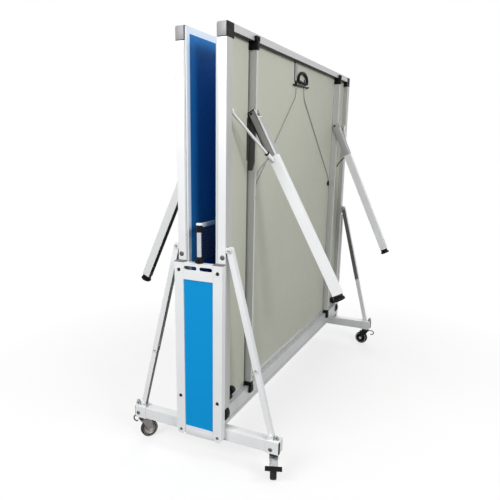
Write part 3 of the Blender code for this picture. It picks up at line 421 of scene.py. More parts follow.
# its blue tint is a painted reflection of the blue playing faces
LINE_WHITE = playing_coat("white_line_paint", (0.80, 0.89, 0.98))
PANEL_BLUE = film("blue_panel_film", (0.0, 0.285, 0.655))
BLACK = plastic("black_moulded_plastic", (0.005, 0.005, 0.0055), 0.5, specular=0.14)
CAP_SILVER = aluminium("cap_plate_metal", (0.40, 0.40, 0.41), (1, 1, 0.05), 0.45, 0.1)
CAP_FACE = aluminium("cap_face_metal", (0.28, 0.28, 0.29), (1, 1, 0.05), 0.45, 0.1)
DARK_BOLT = plated("black_bolt", (0.03, 0.03, 0.032), 0.35)
GREY_BOLT = plated("grey_bolt", (0.13, 0.13, 0.13), 0.4)
# grey of the steel slide in a leg's channel, darkened for painted shade of the channel's inside
SHADED_SLIDE_STEEL = aluminium("slide_steel_painted_shade", (0.33, 0.33, 0.32), (1, 1, 0.05), 0.45, 0.1)
ZINC_BOLT = plated("zinc_bolt", (0.42, 0.43, 0.44), 0.3)
ZINC = plated("zinc_plated_steel", (0.72, 0.73, 0.74), 0.25)
FORK_CHROME = plated("fork_chrome", (0.24, 0.225, 0.22), 0.2)
POST_STEEL = plated("net_post_steel", (0.66, 0.67, 0.69), 0.22, (1, 1, 0.03))
TYRE_AND_SHADOW_RUBBER = rubber("tyre_and_shadow_rubber", (0.014, 0.013, 0.013), (0.05, 0.049, 0.046))
HUB = plastic("pale_wheel_hub", (0.52, 0.47, 0.42), 0.35)
NET_THREAD = woven("net_thread", (0.010, 0.014, 0.022), 0.002)
TAPE_WHITE = woven("white_net_tape", (0.80, 0.82, 0.84), 0.0012)
ROPE = wire_rope("release_rope", (0.46, 0.46, 0.42))


# Pieces

def piece(name, body, parts, turn=UNTURNED):
    """One piece from (mesh, material) pairs, which rides on a body."""
    edit = bmesh.new()
    materials = list(dict.fromkeys(material for _, material in parts))
    for mesh, material in parts:
        start = len(edit.faces)
        edit.from_mesh(mesh)
        edit.faces.ensure_lookup_table()
        for face in edit.faces[start:]:
            face.material_index = materials.index(material)
        bpy.data.meshes.remove(mesh)
    edit.transform(turn)
    mesh = bpy.data.meshes.new(name)
    edit.to_mesh(mesh)
    edit.free()
    for material in materials:
        mesh.materials.append(material)
    mesh.shade_smooth()
    mesh.set_sharp_from_angle(angle=SMOOTH)
    item = bpy.data.objects.new(name, mesh)
    bpy.context.scene.collection.objects.link(item)
    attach(item, body)
    return item


def half_piece(side, name, parts):
    """A piece of one half, drawn on the right half and turned to its side."""
    piece(f"{side}_{name}", f"{side}_half", parts, TURN[side])


def end_of(side, sign):
    """The end of the table that a right-half end (-1 near, 1 far) takes on a side."""
    return "near" if sign * SIDES[side] < 0 else "far"


def end_piece(side, sign, name, parts):
    """A piece at one end of a half."""
    half_piece(side, f"{end_of(side, sign)}_{name}", parts)


WELD_DISTANCE = 0.00001


def dress(name, *materials, rule=None, soft_edge=EDGE):
    """Finish of a CAD node: its materials, chosen face by face by the rule, and rounded edges."""
    node = NODES[name]
    mesh = node.data
    mesh.materials.clear()
    for material in materials:
        mesh.materials.append(material)
    for face in mesh.polygons:
        face.material_index = rule(face) if rule else 0
    if soft_edge:
        weld = node.modifiers.new("weld", "WELD")
        weld.merge_threshold = WELD_DISTANCE
        bevel = node.modifiers.new("edges", "BEVEL")
        bevel.width = soft_edge
        bevel.segments = 2
        bevel.limit_method = "ANGLE"
        bevel.angle_limit = SMOOTH
        node.modifiers.new("normals", "WEIGHTED_NORMAL")


LEG_INNER = 0.0125           # half the leg channel's inner width, with room
STRUT_FACING = 0.7           # likewise to FACING, for a strut's slanting open side
SWIVEL_HEIGHT = 0.008
PEDAL_ARM = 0.036
COLLAR_ZONE = 0.781          # net post's moulded collar, up to here
CLAMP_ZONE = 0.031           # and its moulded clamp, down from the net's top
# the near right fork is zinc; the far right fork is black for painted shade
FORK_FINISH_AND_SHADE = {("near", "right"): ZINC, ("far", "right"): BLACK}


def channel_inside(label, side):
    """Rule for a leg's open channel: 1 on the faces inside it, which lie in shade, else 0."""
    hip = Vector(JOINTS[f"{label}_leg_swing"]["pos_m"])
    along = Vector(JOINTS[f"{label}_foot_screw"]["axis"])
    front = SIDES[side] * Vector((-along.z, 0, along.x))

    def rule(face):
        across = face.center.y - hip.y
        cheek = abs(face.normal.y) > FACING and face.normal.y * across < 0 and abs(across) < LEG_INNER
        return 1 if cheek or face.normal.dot(front) < -FACING else 0

    return rule


def strut_inside(side):
    """Rule for a strut: 1 on its open sides, towards the halves and the middle, which take painted shade,
    else 0.
    """
    along = STRUT_TOP - STRUT_FOOT
    inwards = SIDES[side] * Vector((-along.z, 0, SIDES[side] * along.x)).normalized()

    def rule(face):
        inner = face.normal.y * face.center.y < 0 and abs(face.normal.y) > FACING
        return 1 if inner and face.center.z > STRUT_LAP.z or face.normal.dot(inwards) > STRUT_FACING else 0

    return rule


def tread_zone(label):
    """Rule for a brake pedal: 1 on its zinc arm, 0 on the moulded tread."""
    hinge = Vector(JOINTS[f"{label}_brake_press"]["pos_m"])
    return lambda face: 1 if (face.center - hinge).length < PEDAL_ARM else 0


def crown_zone(fork):
    """Rule for a caster's fork: 1 on the dark swivel at its top, else 0."""
    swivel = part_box(fork)[1].z - SWIVEL_HEIGHT
    return lambda face: 1 if face.center.z > swivel else 0


def dress_frame():
    """Finishes of all the CAD nodes that show."""
    def board_side(face):
        if abs(face.normal.x) < FACING:
            return 2
        return 1 if face.normal.x * face.center.x > 0 else 0

    def apron_side(face):
        # outer face in the lighter aluminium, the other faces in the darker copy for painted shade
        return 0 if abs(face.normal.y) > FACING and face.normal.y * face.center.y > 0 else 1

    def end_apron_underside_shade(face):
        # downward faces take the near-black of painted shade
        return 1 if face.normal.z < -FACING else 0

    def net_post_zone(face):
        return 0 if COLLAR_ZONE <= face.center.z <= NET_HIGH.z - CLAMP_ZONE else 1

    dress("base_frame", WHITE)
    for end in ENDS:
        dress(f"{end}_crossbar", WHITE)
        dress(f"{end}_end_panel", PANEL_BLUE)
        dress(f"{end}_net_post", POST_STEEL, BLACK, rule=net_post_zone, soft_edge=0.0004)
        for side in SIDES:
            dress(f"{end}_{side}_post", WHITE)
            fork = f"{end}_{side}_caster_fork"
            finish = FORK_FINISH_AND_SHADE.get((end, side), FORK_CHROME)
            dress(fork, finish, DARK_BOLT, rule=crown_zone(fork), soft_edge=0.0005)
    for pedal in ("near_right", "far_left"):
        dress(f"{pedal}_caster_brake_pedal", BLACK, ZINC, rule=tread_zone(pedal))
    for side in SIDES:
        dress(f"{side}_board", BLUE_COAT, BEIGE_BACK, EDGE_BAND, rule=board_side)
        dress(f"{side}_end_apron", END_ALUMINIUM, PAINTED_DEEP_SHADE, rule=end_apron_underside_shade)
        dress(f"{side}_net_apron", END_ALUMINIUM)
        dress(f"{side}_release_cable", ROPE, soft_edge=0)
        dress(f"{side}_release_handle", BLACK, soft_edge=0)
        for end in ENDS:
            label = f"{side}_{end}"
            dress(f"{label}_apron", SIDE_ALUMINIUM, SHADED_FLANGE_ALUMINIUM, rule=apron_side)
            dress(f"{label}_corner_cap", BLACK, soft_edge=0.0012)
            dress(f"{label}_rail", RAIL_GREY)
            dress(f"{label}_slider", BLACK)
            dress(f"{label}_strut", WHITE, SHADED, rule=strut_inside(side), soft_edge=0.0008)
            dress(f"{label}_leg", WHITE, SHADED, rule=channel_inside(label, side), soft_edge=0.0008)
            dress(f"{label}_leg_foot", BLACK)


# Trolley

POST_BOLT_HEIGHTS = (0.733, 0.2527)
POST_LOW_BOLT = 0.114
POST_BOLT_RADIUS = 0.0064
BAR_BOLTS = ((-0.292, 0.116), (0.276, 0.111))     # x and z on the near foot bar
BAR_BOLT_SIZE = (0.0078, 0.003)                   # radius and rise


def trolley_bolts():
    """Bolts of the end frames, drawn at the near end."""
    front = (0, -1, 0)
    parts = []
    for turn in (UNTURNED, HALF_TURN):
        heads, feet = [], []
        for x in (-POST_X, POST_X):
            heads += [button_head((x, -POST_HIGH.y, z), front, POST_BOLT_RADIUS) for z in POST_BOLT_HEIGHTS]
            feet.append(button_head((x, -POST_HIGH.y, POST_LOW_BOLT), front))
        feet += [button_head((x, BASE_LOW.y, z), front, *BAR_BOLT_SIZE) for x, z in BAR_BOLTS]
        for mesh in heads + feet:
            mesh.transform(turn)
        parts += [(mesh, DARK_BOLT) for mesh in heads] + [(mesh, GREY_BOLT) for mesh in feet]
    piece("trolley_bolts", "trolley", parts)


POST_CAP_RISE = 0.0036
POST_CAP_LIP = 0.0006                   # past the post's faces
POST_CAP_TAB = (0.006, 0.004, 0.012)    # in from the sides, and from the front to both its edges


def post_caps():
    """Plugs in the posts' open tops, in the grey of painted shade for the dark open tops, drawn at the near
    right post.
    """
    low = Vector((POST_LOW.x - POST_CAP_LIP, -POST_HIGH.y - POST_CAP_LIP, POST_HIGH.z + SEAT))
    high = Vector((POST_HIGH.x + POST_CAP_LIP, -POST_LOW.y, POST_HIGH.z + POST_CAP_RISE))
    inset, start, stop = POST_CAP_TAB
    tab = ((low.x + inset, low.y + start, high.z - 0.001), (high.x - inset, low.y + stop, high.z + 0.001))
    for end in ENDS:
        parts = []
        for place in (TURN[end], TURN[end] @ Matrix.Translation((-2 * POST_X, 0, 0))):
            for mesh in (block(low, high, 0.0008), block(*tab, 0.0004)):
                mesh.transform(place)
                parts.append((mesh, SHADED))
        piece(f"{end}_post_caps", "trolley", parts)


KICK_PLATE_GAP = 0.0004
KICK_PLATE_Z = (0.0962, 0.1332)
KICK_PLATE_BACK = -0.7672
KICK_PLATE_FRONT = 0.0012        # in from the posts' faces
KICK_PLATE_LIP = (0.0004, 0.004, 0.005)     # front and back, likewise, and height
LUG_SPANS = {1: (0.291, 0.313, 0.166), -1: (0.283, 0.301, 0.160)}    # inner x, outer x and top
LUG_THICKNESS = 0.008
LUG_BOLT = (0.011, 0.008)        # out from the lug's inner end, and up from its block


def kick_plates():
    """White plates that close the end frames between the posts' feet."""
    inner, front = POST_LOW.x - KICK_PLATE_GAP, -POST_HIGH.y
    low, high = KICK_PLATE_Z
    start, stop, height = KICK_PLATE_LIP
    for end in ENDS:
        sheet = block((-inner, front + KICK_PLATE_FRONT, low), (inner, KICK_PLATE_BACK, high), 0.002)
        lip = block((-inner, front + start, high - height), (inner, front + stop, high), 0.0008)
        piece(f"{end}_kick_plate", "trolley", [(sheet, WHITE), (lip, WHITE)], TURN[end])


def strut_lugs():
    """Zinc lugs beside the strut clevises on the foot bars, each with a dark bolt through it."""
    half, low = LUG_THICKNESS / 2, BLOCK_TOP + 2 * SEAT
    for end, sign in ENDS.items():
        for side, across in SIDES.items():
            inner, outer, top = LUG_SPANS[across * sign]
            corners = ((inner, low), (outer, low), (outer - 0.006, top - 0.002), (outer - 0.010, top),
                       (inner + 0.007, top - 0.002))
            y = sign * STRUT_FOOT.y
            lug = plate([(across * x, z) for x, z in corners], LUG_THICKNESS, 0.001, upright(y - half))
            parts = [(lug, ZINC_BOLT)]
            for flank in (-1, 1):
                at = (across * (inner + LUG_BOLT[0]), y + flank * half, BLOCK_TOP + LUG_BOLT[1])
                parts.append((button_head(at, (0, flank, 0), 0.0032, 0.0014), DARK_BOLT))
            piece(f"{end}_{side}_strut_lug", "trolley", parts)


END_CAP_THICKNESS = 0.0018
END_CAP_DEPTH = 0.013
END_CAP_CROWN = 0.72         # raised middle, as a share of the cap


def foot_bar_caps():
    """Black caps that close the foot bars' ends."""
    depth, height = END_CAP_DEPTH, BLOCK_TOP - BASE_LOW.z
    out, middle = abs(BASE_LOW.y + depth / 2), (BASE_LOW.z + BLOCK_TOP) / 2
    for end, across in ENDS.items():
        for side, sign in SIDES.items():
            at = Vector((sign * BASE_HIGH.x, across * out, middle))
            step = at + Vector((sign * END_CAP_THICKNESS * 0.9, 0, 0))
            rim = plate(round_rectangle(depth, height, 0.004), END_CAP_THICKNESS, 0.0012,
                        pointing(at, (sign, 0, 0)))
            inner = round_rectangle(depth * END_CAP_CROWN, height * END_CAP_CROWN, 0.003)
            crown = plate(inner, 0.0012, 0.0005, pointing(step, (sign, 0, 0)))
            piece(f"{end}_{side}_foot_bar_cap", "trolley", [(rim, BLACK), (crown, BLACK)])


# Net

NET_PITCH = 0.0095
NET_THREAD_WIDTH = 0.0012
TAPE_HEIGHT = 0.015
TAPE_THICKNESS = 0.0022
SEAM_DOWN = 0.82             # share of the tape's height
SEAM_THREAD = 0.0005
NET_SAG = 0.004
NET_STEPS = 48


def net_top(y):
    """Height of the net's top edge, which sags a little between its posts."""
    return NET_HIGH.z - NET_SAG * (1 - (y / NET_HIGH.y) ** 2)


def strand(points, width, across):
    """A square thread along points; across is its second thickness direction."""
    side, lift = Vector((width / 2, 0, 0)), Vector(across) * width / 2
    return skin([[Vector(p) + a * side + b * lift for a, b in SQUARE] for p in points])


def spread_points(count, low, high):
    return [low + (high - low) * i / count for i in range(count + 1)]


def net_piece():
    """Fine square net with its white tape, which stands for the CAD net."""
    reach = NET_HIGH.y
    low, depth = NET_LOW.z, NET_HIGH.z - NET_LOW.z - TAPE_HEIGHT
    columns = round(2 * reach / NET_PITCH)
    rows = round(depth / NET_PITCH)
    across = spread_points(NET_STEPS, -reach, reach)
    parts = []
    for y in spread_points(columns, -reach + NET_THREAD_WIDTH, reach - NET_THREAD_WIDTH):
        ends = [(0, y, low), (0, y, net_top(y) - TAPE_HEIGHT / 2)]
        parts.append((strand(ends, NET_THREAD_WIDTH, (0, 1, 0)), NET_THREAD))
    for share in spread_points(rows, 0, 1)[:-1]:
        line = [(0, y, low + NET_THREAD_WIDTH / 2 + share * (net_top(y) - TAPE_HEIGHT - low))
                for y in across]
        parts.append((strand(line, NET_THREAD_WIDTH, (0, 0, 1)), NET_THREAD))
    hem = 2 * NET_THREAD_WIDTH
    line = [(0, y, low + hem / 2) for y in across]
    parts.append((strand(line, hem * 0.8, (0, 0, 1.25)), NET_THREAD))
    net = piece("table_net", "trolley", parts)
    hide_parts("net")
    tape = tape_piece(across)


def tape_piece(across):
    """White tape folded over the net's top cord, with a stitched seam."""
    half = TAPE_THICKNESS / 2
    section = [(half, -TAPE_HEIGHT), *arc((0, -half), half, 0, 180, 6), (-half, -TAPE_HEIGHT)]
    band = skin([[(x, y, net_top(y) + z) for x, z in section] for y in across])
    parts = [(band, TAPE_WHITE)]
    for sign in (-1, 1):
        seam = [(sign * half, y, net_top(y) - TAPE_HEIGHT * SEAM_DOWN) for y in across]
        parts.append((strand(seam, SEAM_THREAD, (0, 0, 1)), NET_THREAD))
    return piece("net_tape", "trolley", parts)


NET_POST_Y = 0.7775
CLAMP_RINGS = (0.026, 0.020, 0.014)         # down from the net's top
COLLAR_TOP = 0.7803
THUMBSCREW = (0.0115, 0.010)                # out from the post's axis, and down from the collar's top
CORD_HEIGHTS = (NET_HIGH.z - 0.009, NET_LOW.z + 0.006)
CORD_INNER, CORD_OUTER = NET_HIGH.y - 0.004, NET_POST_Y - 0.0085
CORD_RADIUS = 0.0013


def net_post_fittings():
    """Cap, clamp rings, thumbscrew and cord ends of the two net posts."""
    top = NET_HIGH.z
    rings = [[(0.0100, z), (0.0118, z + 0.0008), (0.0118, z + 0.0026), (0.0100, z + 0.0034)]
             for z in (top - down for down in CLAMP_RINGS)]
    cap = [(0.0100, top - 0.006), (0.0110, top - 0.0055), (0.0110, top - 0.001), (0.0098, top + 0.0006),
           (0, top + 0.0010)]
    foot = [(0.0092, COLLAR_TOP - 0.002), (0.0120, COLLAR_TOP - 0.001), (0.0112, COLLAR_TOP + 0.002),
            (0.0092, COLLAR_TOP + 0.003)]
    out, down = THUMBSCREW
    for end, sign in ENDS.items():
        place = Matrix.Translation((0, sign * NET_POST_Y, 0))
        parts = [(lathe(ring, 32, place, ring=True), BLACK) for ring in rings]
        parts.append((lathe(cap, 32, place), LINE_WHITE))
        parts.append((lathe(foot, 32, place, ring=True), BLACK))
        parts.append((thumbscrew((0, sign * (NET_POST_Y + out), COLLAR_TOP - down), sign), BLACK))
        for z in CORD_HEIGHTS:
            inner, outer = Vector((0, sign * CORD_INNER, z)), Vector((0, sign * CORD_OUTER, z))
            parts.append((tube([inner, inner.lerp(outer, 0.5), outer], CORD_RADIUS, 8), NET_THREAD))
        piece(f"{end}_net_post_fittings", "trolley", parts)


def thumbscrew(at, sign):
    """Ribbed knob that clamps the net post in its collar."""
    profile = [(0, 0), (0.003, 0), (0.003, 0.003), (0.0062, 0.004, True), (0.0066, 0.006, True),
               (0.0066, 0.009, True), (0.0058, 0.0105), (0, 0.011)]
    return lathe(profile, 24, pointing(at, (0, sign, 0)))


# Casters

AXLE_END = 0.0160            # from the wheel's middle
TOOTHED_RING = 0.0064        # down from the fork's top
TEETH = 16
WHEEL_WEBS = 6
WHEEL_LINE = ((0.0274, 0.0110), (0.0278, 0.0122), (0.0292, 0.0122), (0.0296, 0.0110))


def wheel_piece(end, side):
    """Tyre, pale hub and bearing of one wheel, which stand for the CAD wheel."""
    node = f"{end}_{side}_caster_wheel"
    roll = JOINTS[f"{end}_{side}_roll"]
    place = pointing(Vector(roll["pos_m"]), roll["axis"])
    tread = [(0.0350, 0.0045), (0.0344, 0.0085), (0.0325, 0.0112), (0.0300, 0.0118), (0.0262, 0.0114),
             (0.0240, 0.0102), (0.0232, 0.0090)]
    tread = tread + [(r, -h) for r, h in reversed(tread)]
    rim = [(0.0236, 0.0094), (0.0226, 0.0108), (0.0214, 0.0108), (0.0206, 0.0092), (0.0160, 0.0066),
           (0.0112, 0.0066), (0.0096, 0.0098), (0.0070, 0.0112), (0.0046, 0.0112)]
    rim = rim + [(r, -h) for r, h in reversed(rim)]
    # the far right wheel's hub is black for painted shade
    hub = BLACK if (end, side) == ("far", "right") else HUB
    parts = [(lathe(tread, 48, place, ring=True), TYRE_AND_SHADOW_RUBBER), (lathe(rim, 48, place, ring=True), hub)]
    for face in (-1, 1):
        line = [(r, face * h) for r, h in WHEEL_LINE]
        parts.append((lathe(line, 48, place, ring=True), ZINC_BOLT))
        for step in range(WHEEL_WEBS):
            turn = place @ Matrix.Rotation(2 * math.pi * step / WHEEL_WEBS, 4, "Z")
            web = block((0.0100, -0.0011, face * 0.0060), (0.0215, 0.0011, face * 0.0092), 0.0004, turn)
            parts.append((web, hub))
    wheel = piece(f"{end}_{side}_wheel_detail", f"{end}_{side}_wheel", parts)
    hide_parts(node)


def caster_fittings(end, side):
    """Axle nuts, the swivel's toothed ring and, on two casters, the swivel's lever."""
    body = f"{end}_{side}_caster"
    roll = JOINTS[f"{end}_{side}_roll"]
    middle, axis = Vector(roll["pos_m"]), Vector(roll["axis"])
    swivel = JOINTS[f"{end}_{side}_swivel"]["pos_m"]
    parts = [(hexagon_nut(middle + axis * s * AXLE_END, axis * s, 0.0058, 0.0040), ZINC_BOLT)
             for s in (-1, 1)]
    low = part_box(f"{body}_fork")[1].z - TOOTHED_RING
    ring = [(0.0172, low), (0.0186, low), (0.0186, low + 0.0052), (0.0172, low + 0.0052)]
    hub = Matrix.Translation((swivel[0], swivel[1], 0))
    parts.append((lathe(ring, 40, hub, ring=True), DARK_BOLT))
    for step in range(TEETH):
        turn = hub @ Matrix.Rotation(2 * math.pi * step / TEETH, 4, "Z")
        tooth = block((0.0182, -0.0016, low + 0.0008), (0.0200, 0.0016, low + 0.0044), 0.0004, turn)
        parts.append((tooth, DARK_BOLT))
    if (end, side) in LEVER_CASTERS:
        parts.append((swivel_lever(swivel, SIDES[side]), GREY_BOLT))
    piece(f"{body}_fittings", body, parts)


LEVER_CASTERS = (("near", "left"), ("far", "right"))
LEVER_Z = 0.074
LEVER_BEND = 0.0115
LEVER_RADIUS = 0.0030
LEVER_START, LEVER_OUT = 0.016, 0.038     # lever's root and its bend's middle, from the swivel's axis


def swivel_lever(swivel, sign):
    """Bent wire lever of the swivel lock, out from the fork's crown."""
    x, y = swivel[:2]
    turns = [math.radians(degrees) for degrees in range(100, -131, -15)]
    bend = [(x + sign * (LEVER_OUT + LEVER_BEND * math.cos(a)), y, LEVER_Z + LEVER_BEND * math.sin(a))
            for a in turns]
    return tube([(x + sign * LEVER_START, y, bend[0][2]), *bend], LEVER_RADIUS, 10)


# Halves

LINE_WIDTH = 0.020
CENTRE_LINE_WIDTH = 0.003
LINE_RISE = 0.0002
LINE_DEPTH = 0.0003


def court_lines(side):
    """White lines painted on the playing face: side lines, end line and centre line."""
    near, far = FACE_X - LINE_RISE, FACE_X + LINE_DEPTH
    edge, low, high = BOARD_HIGH.y, BOARD_LOW.z, BOARD_HIGH.z
    inner, end_low, half = edge - LINE_WIDTH, high - LINE_WIDTH, CENTRE_LINE_WIDTH / 2
    spans = ((-inner, -edge, low, high), (inner, edge, low, high), (-inner, inner, end_low, high),
             (-half, half, low, end_low))
    parts = [(block((near, y0, z0), (far, y1, z1), 0), LINE_WHITE) for y0, y1, z0, z1 in spans]
    half_piece(side, "court_lines", parts)


CAP_PLATE_INSET = 0.0016
CAP_SCREW_IN = (0.012, 0.014)    # along Y and Z, from two opposite corners of the cap


def corner_plates(side):
    """Metal face plates and screws on the end line's corner caps."""
    low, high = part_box("right_far_corner_cap")
    width, height = [high[axis] - low[axis] - 2 * CAP_PLATE_INSET for axis in (0, 2)]
    in_y, in_z = CAP_SCREW_IN
    screws = ((low.y + in_y, high.z - in_z), (high.y - in_y, low.z + in_z))
    for sign in (-1, 1):
        middle = ((low.x + high.x) / 2, sign * SIDE_Y, (low.z + high.z) / 2)
        face = plate(round_rectangle(width, height, 0.0025), 0.0009, 0.0003, pointing(middle, (0, sign, 0)))
        parts = [(face, CAP_FACE)]
        parts += [(pan_screw((high.x, sign * y, z), (1, 0, 0), 0.0036), DARK_BOLT) for y, z in screws]
        end_piece(side, sign, "corner_plate", parts)


APRON_BOLT = (0.0805, 0.784)        # x and z on a side apron
APRON_BOLT_RADIUS = 0.0088
SEAM_X, SEAM_WIDTH, SEAM_RISE = 0.0622, 0.0009, 0.00015
SEAM_Z = (0.1600, 1.4795)            # side apron's lip joint
BUMPER_HEIGHT = 0.198
BUMPER_RADIUS = 0.021
BUMPER_RISE = 0.010
BUMPER_SUNK = 0.0005
BUMPER_WIDTH = 0.024


def side_fittings(side, sign):
    """Bolt, net-edge bumper and lip seam of one side apron."""
    x, z = APRON_BOLT
    bolt = button_head((x, sign * SIDE_Y, z), (0, sign, 0), APRON_BOLT_RADIUS, 0.0022)
    dome = [(BUMPER_RADIUS * math.cos(math.radians(a)), BUMPER_RISE * math.sin(math.radians(a)))
            for a in range(0, 181, 15)]
    outline = [(-BUMPER_RADIUS, -BUMPER_SUNK), (BUMPER_RADIUS, -BUMPER_SUNK)] + dome
    inner = sign * SIDE_Y - (BUMPER_WIDTH if sign > 0 else 0)
    place = standing((APRON_X, inner, BUMPER_HEIGHT), (0, 0, 1), (1, 0, 0), (0, 1, 0))
    # the lip seam is a flush strip in near-black: painted shade of the joint's gap
    seam = block((SEAM_X, sign * (SIDE_Y - 0.0004), SEAM_Z[0]),
                 (SEAM_X + SEAM_WIDTH, sign * (SIDE_Y + SEAM_RISE), SEAM_Z[1]), 0)
    parts = [(bolt, GREY_BOLT), (plate(outline, BUMPER_WIDTH, 0.0015, place), BLACK), (seam, PAINTED_DEEP_SHADE)]
    end_piece(side, sign, "apron_fittings", parts)


BRACKET_WIDTH = 0.037
BRACKET_WALL = 0.003
BRACKET_SCREW_IN = 0.006
TONGUE_SHARE = 0.8               # of the bracket's width
FLANGE_ENDS = (0.019, 0.029)     # short of the rail's lower and upper end
TOP_BRACKET = (0.028, 0.016)     # length along the rail, and of the tongue on the extrusion
BOTTOM_BRACKET = (0.018, 0.026)
FLANGE_WIDTH = 0.007
FLANGE_RISE = 0.0012
SHADE_LINE_WIDTH = 0.0020
SHADE_LINE_RISE = 0.0007


def rail_bracket(sign, end, inward, length, reach):
    """Black shoe over a rail's end, with a tongue on the edge extrusion and its screws."""
    y, half = sign * RAIL_Y, BRACKET_WIDTH / 2
    stop, outer = end + inward * length, RAIL_HIGH.x + BRACKET_WALL
    parts = [block((RAIL_HIGH.x + SEAT, y - RAIL_HALF - BRACKET_WALL, end),
                   (outer, y + RAIL_HALF + BRACKET_WALL, stop), 0.001)]
    for flank in (-1, 1):
        inner = y + flank * (RAIL_HALF + SEAT)
        wall = y + flank * (RAIL_HALF + BRACKET_WALL)
        parts.append(block((ON_BOARD, inner, end), (outer, wall, stop), 0.0008))
        foot = UNDER_X + BRACKET_WALL
        parts.append(block((ON_BOARD, inner, end), (foot, y + flank * half, stop), 0.0008))
        screw = (foot, y + flank * (half - BRACKET_SCREW_IN), (end + stop) / 2)
        parts.append(pan_screw(screw, (1, 0, 0), 0.0035))
    tongue = half * TONGUE_SHARE
    parts.append(block((APRON_X + SEAT, y - tongue, end), (outer, y + tongue, end - inward * reach), 0.001))
    parts.append(pan_screw((outer, y, end - inward * reach / 2), (1, 0, 0), 0.004))
    return parts


def rail_flanges(sign):
    """Thin feet of the rail's section, flat on the board along both its sides, each edged with a near-black
    line of painted shade.
    """
    low, high = RAIL_LOW.z + FLANGE_ENDS[0], RAIL_HIGH.z - FLANGE_ENDS[1]
    shade_line_edge = FLANGE_WIDTH + SHADE_LINE_WIDTH
    parts = []
    # the near rail's foot towards -Y is grey for painted shadow, and the foot towards +Y is white on both
    # rails for a painted highlight
    for flank, finish in ((-1, SHADED if sign < 0 else END_ALUMINIUM), (1, WHITE)):
        for start, stop, rise, material in ((SEAT, FLANGE_WIDTH, FLANGE_RISE, finish),
                                            (FLANGE_WIDTH, shade_line_edge, SHADE_LINE_RISE, PAINTED_DEEP_SHADE)):
            near, far = [sign * RAIL_Y + flank * (RAIL_HALF + d) for d in (start, stop)]
            parts.append((block((ON_BOARD, near, low), (UNDER_X + rise, far, high), 0.0002), material))
    return parts


LEG_SHADOW_Z = (1.068, 1.250)
LEG_SHADOW_DEPTH = 0.0032
LEG_SHADOW_FOOT = (0.0065, 0.0016, 0.035)     # width, rise, and start above the strip's lower end


def leg_shadow_strip(side, sign):
    """Painted shadow of the stored leg: a dark strip along a rail's outer flank, drawn as a rubber rest, with
    a dark foot on the board.
    """
    edge = RAIL_Y + RAIL_HALF
    flank = sorted(sign * (edge + d) for d in (2 * SEAT, LEG_SHADOW_DEPTH))
    width, rise, start = LEG_SHADOW_FOOT
    near, far = [sign * (edge + FLANGE_WIDTH + SHADE_LINE_WIDTH + d) for d in (SEAT, width)]
    low, high = LEG_SHADOW_Z
    back, front = UNDER_X + FLANGE_RISE + 2 * SEAT, RAIL_HIGH.x - 0.001
    outline = [(back, low), (RAIL_HIGH.x - 0.010, low), (front, low + 0.030), (front, high), (back, high)]
    wall = plate(outline, flank[1] - flank[0], 0.0005, upright(flank[0]))
    foot = block((ON_BOARD, near, low + start), (UNDER_X + rise, far, high), 0.0004)
    end_piece(side, sign, "leg_shadow_strip", [(wall, PAINTED_DEEP_SHADE), (foot, TYRE_AND_SHADOW_RUBBER)])


def rail_fittings(side, sign):
    """A rail's two end brackets and its flanges."""
    for name, end, inward, lengths in (("top", RAIL_HIGH.z, -1, TOP_BRACKET),
                                       ("bottom", RAIL_LOW.z, 1, BOTTOM_BRACKET)):
        parts = [(mesh, BLACK) for mesh in rail_bracket(sign, end, inward, *lengths)]
        end_piece(side, sign, f"rail_{name}_bracket", parts)
    end_piece(side, sign, "rail_flanges", rail_flanges(sign))


LATCH_BLOCKS = ((0.0, 0.238, 0.262), (0.026, 0.253, 0.277))     # in from the side apron, low and high
LATCH_WIDTH = 0.022
LATCH_DEPTH = 0.022
LATCH_BOLT_Z = 0.2575
LATCH_CLEAR = 0.0004


def latch(side, sign):
    """Black latch housing in two blocks beside a side apron, with the zinc bolt between them."""
    edge = sign * (FLANGE_Y - LATCH_CLEAR)
    near, far = UNDER_X + 2 * SEAT, UNDER_X + LATCH_DEPTH
    parts = []
    for inset, low, high in LATCH_BLOCKS:
        y = min(edge - sign * inset, edge - sign * (inset + LATCH_WIDTH))
        outline = [(near, low), (far - 0.004, low), (far, low + 0.005), (far, high - 0.010),
                   (far - 0.008, high), (near, high)]
        parts.append((plate(outline, LATCH_WIDTH, 0.0012, upright(y)), BLACK))
        parts.append((pan_screw((far, y + LATCH_WIDTH / 2, low + 0.010), (1, 0, 0), 0.003), DARK_BOLT))
    rod = [(near + 0.009, edge - sign * (LATCH_WIDTH + d), LATCH_BOLT_Z) for d in (-0.003, 0.002, 0.007)]
    parts.append((tube(rod, 0.004), ZINC))
    end_piece(side, sign, "latch", parts)


TRIM_HEIGHT = 0.021
TRIM_RISE = 0.0014
TRIM_CLEAR = 0.0205          # rail's middle to the trim
TRIM_END_CLEAR = 0.0006
GROOVE_Z = 0.0135            # up from the net apron's lower edge
GROOVE_WIDTH = 0.0018


def net_apron_trim(side):
    """Flat foot of the net apron's section on the board, beside the rails, and a flush strip of painted shade
    for a groove along its face.
    """
    low, high = NET_APRON_HIGH.z + 2 * SEAT, NET_APRON_HIGH.z + TRIM_HEIGHT
    inner, outer, edge = RAIL_Y - TRIM_CLEAR, RAIL_Y + TRIM_CLEAR, FLANGE_Y - TRIM_END_CLEAR
    parts = [(block((ON_BOARD, start, low), (UNDER_X + TRIM_RISE, stop, high), 0.0003), END_ALUMINIUM)
             for start, stop in ((-edge, -outer), (-inner, inner), (outer, edge))]
    groove = NET_APRON_LOW.z + GROOVE_Z
    line = block((APRON_X - 0.0003, -edge, groove), (APRON_X + SEAT, edge, groove + GROOVE_WIDTH), 0)
    half_piece(side, "net_apron_trim", parts + [(line, SHADED)])


# Release handle

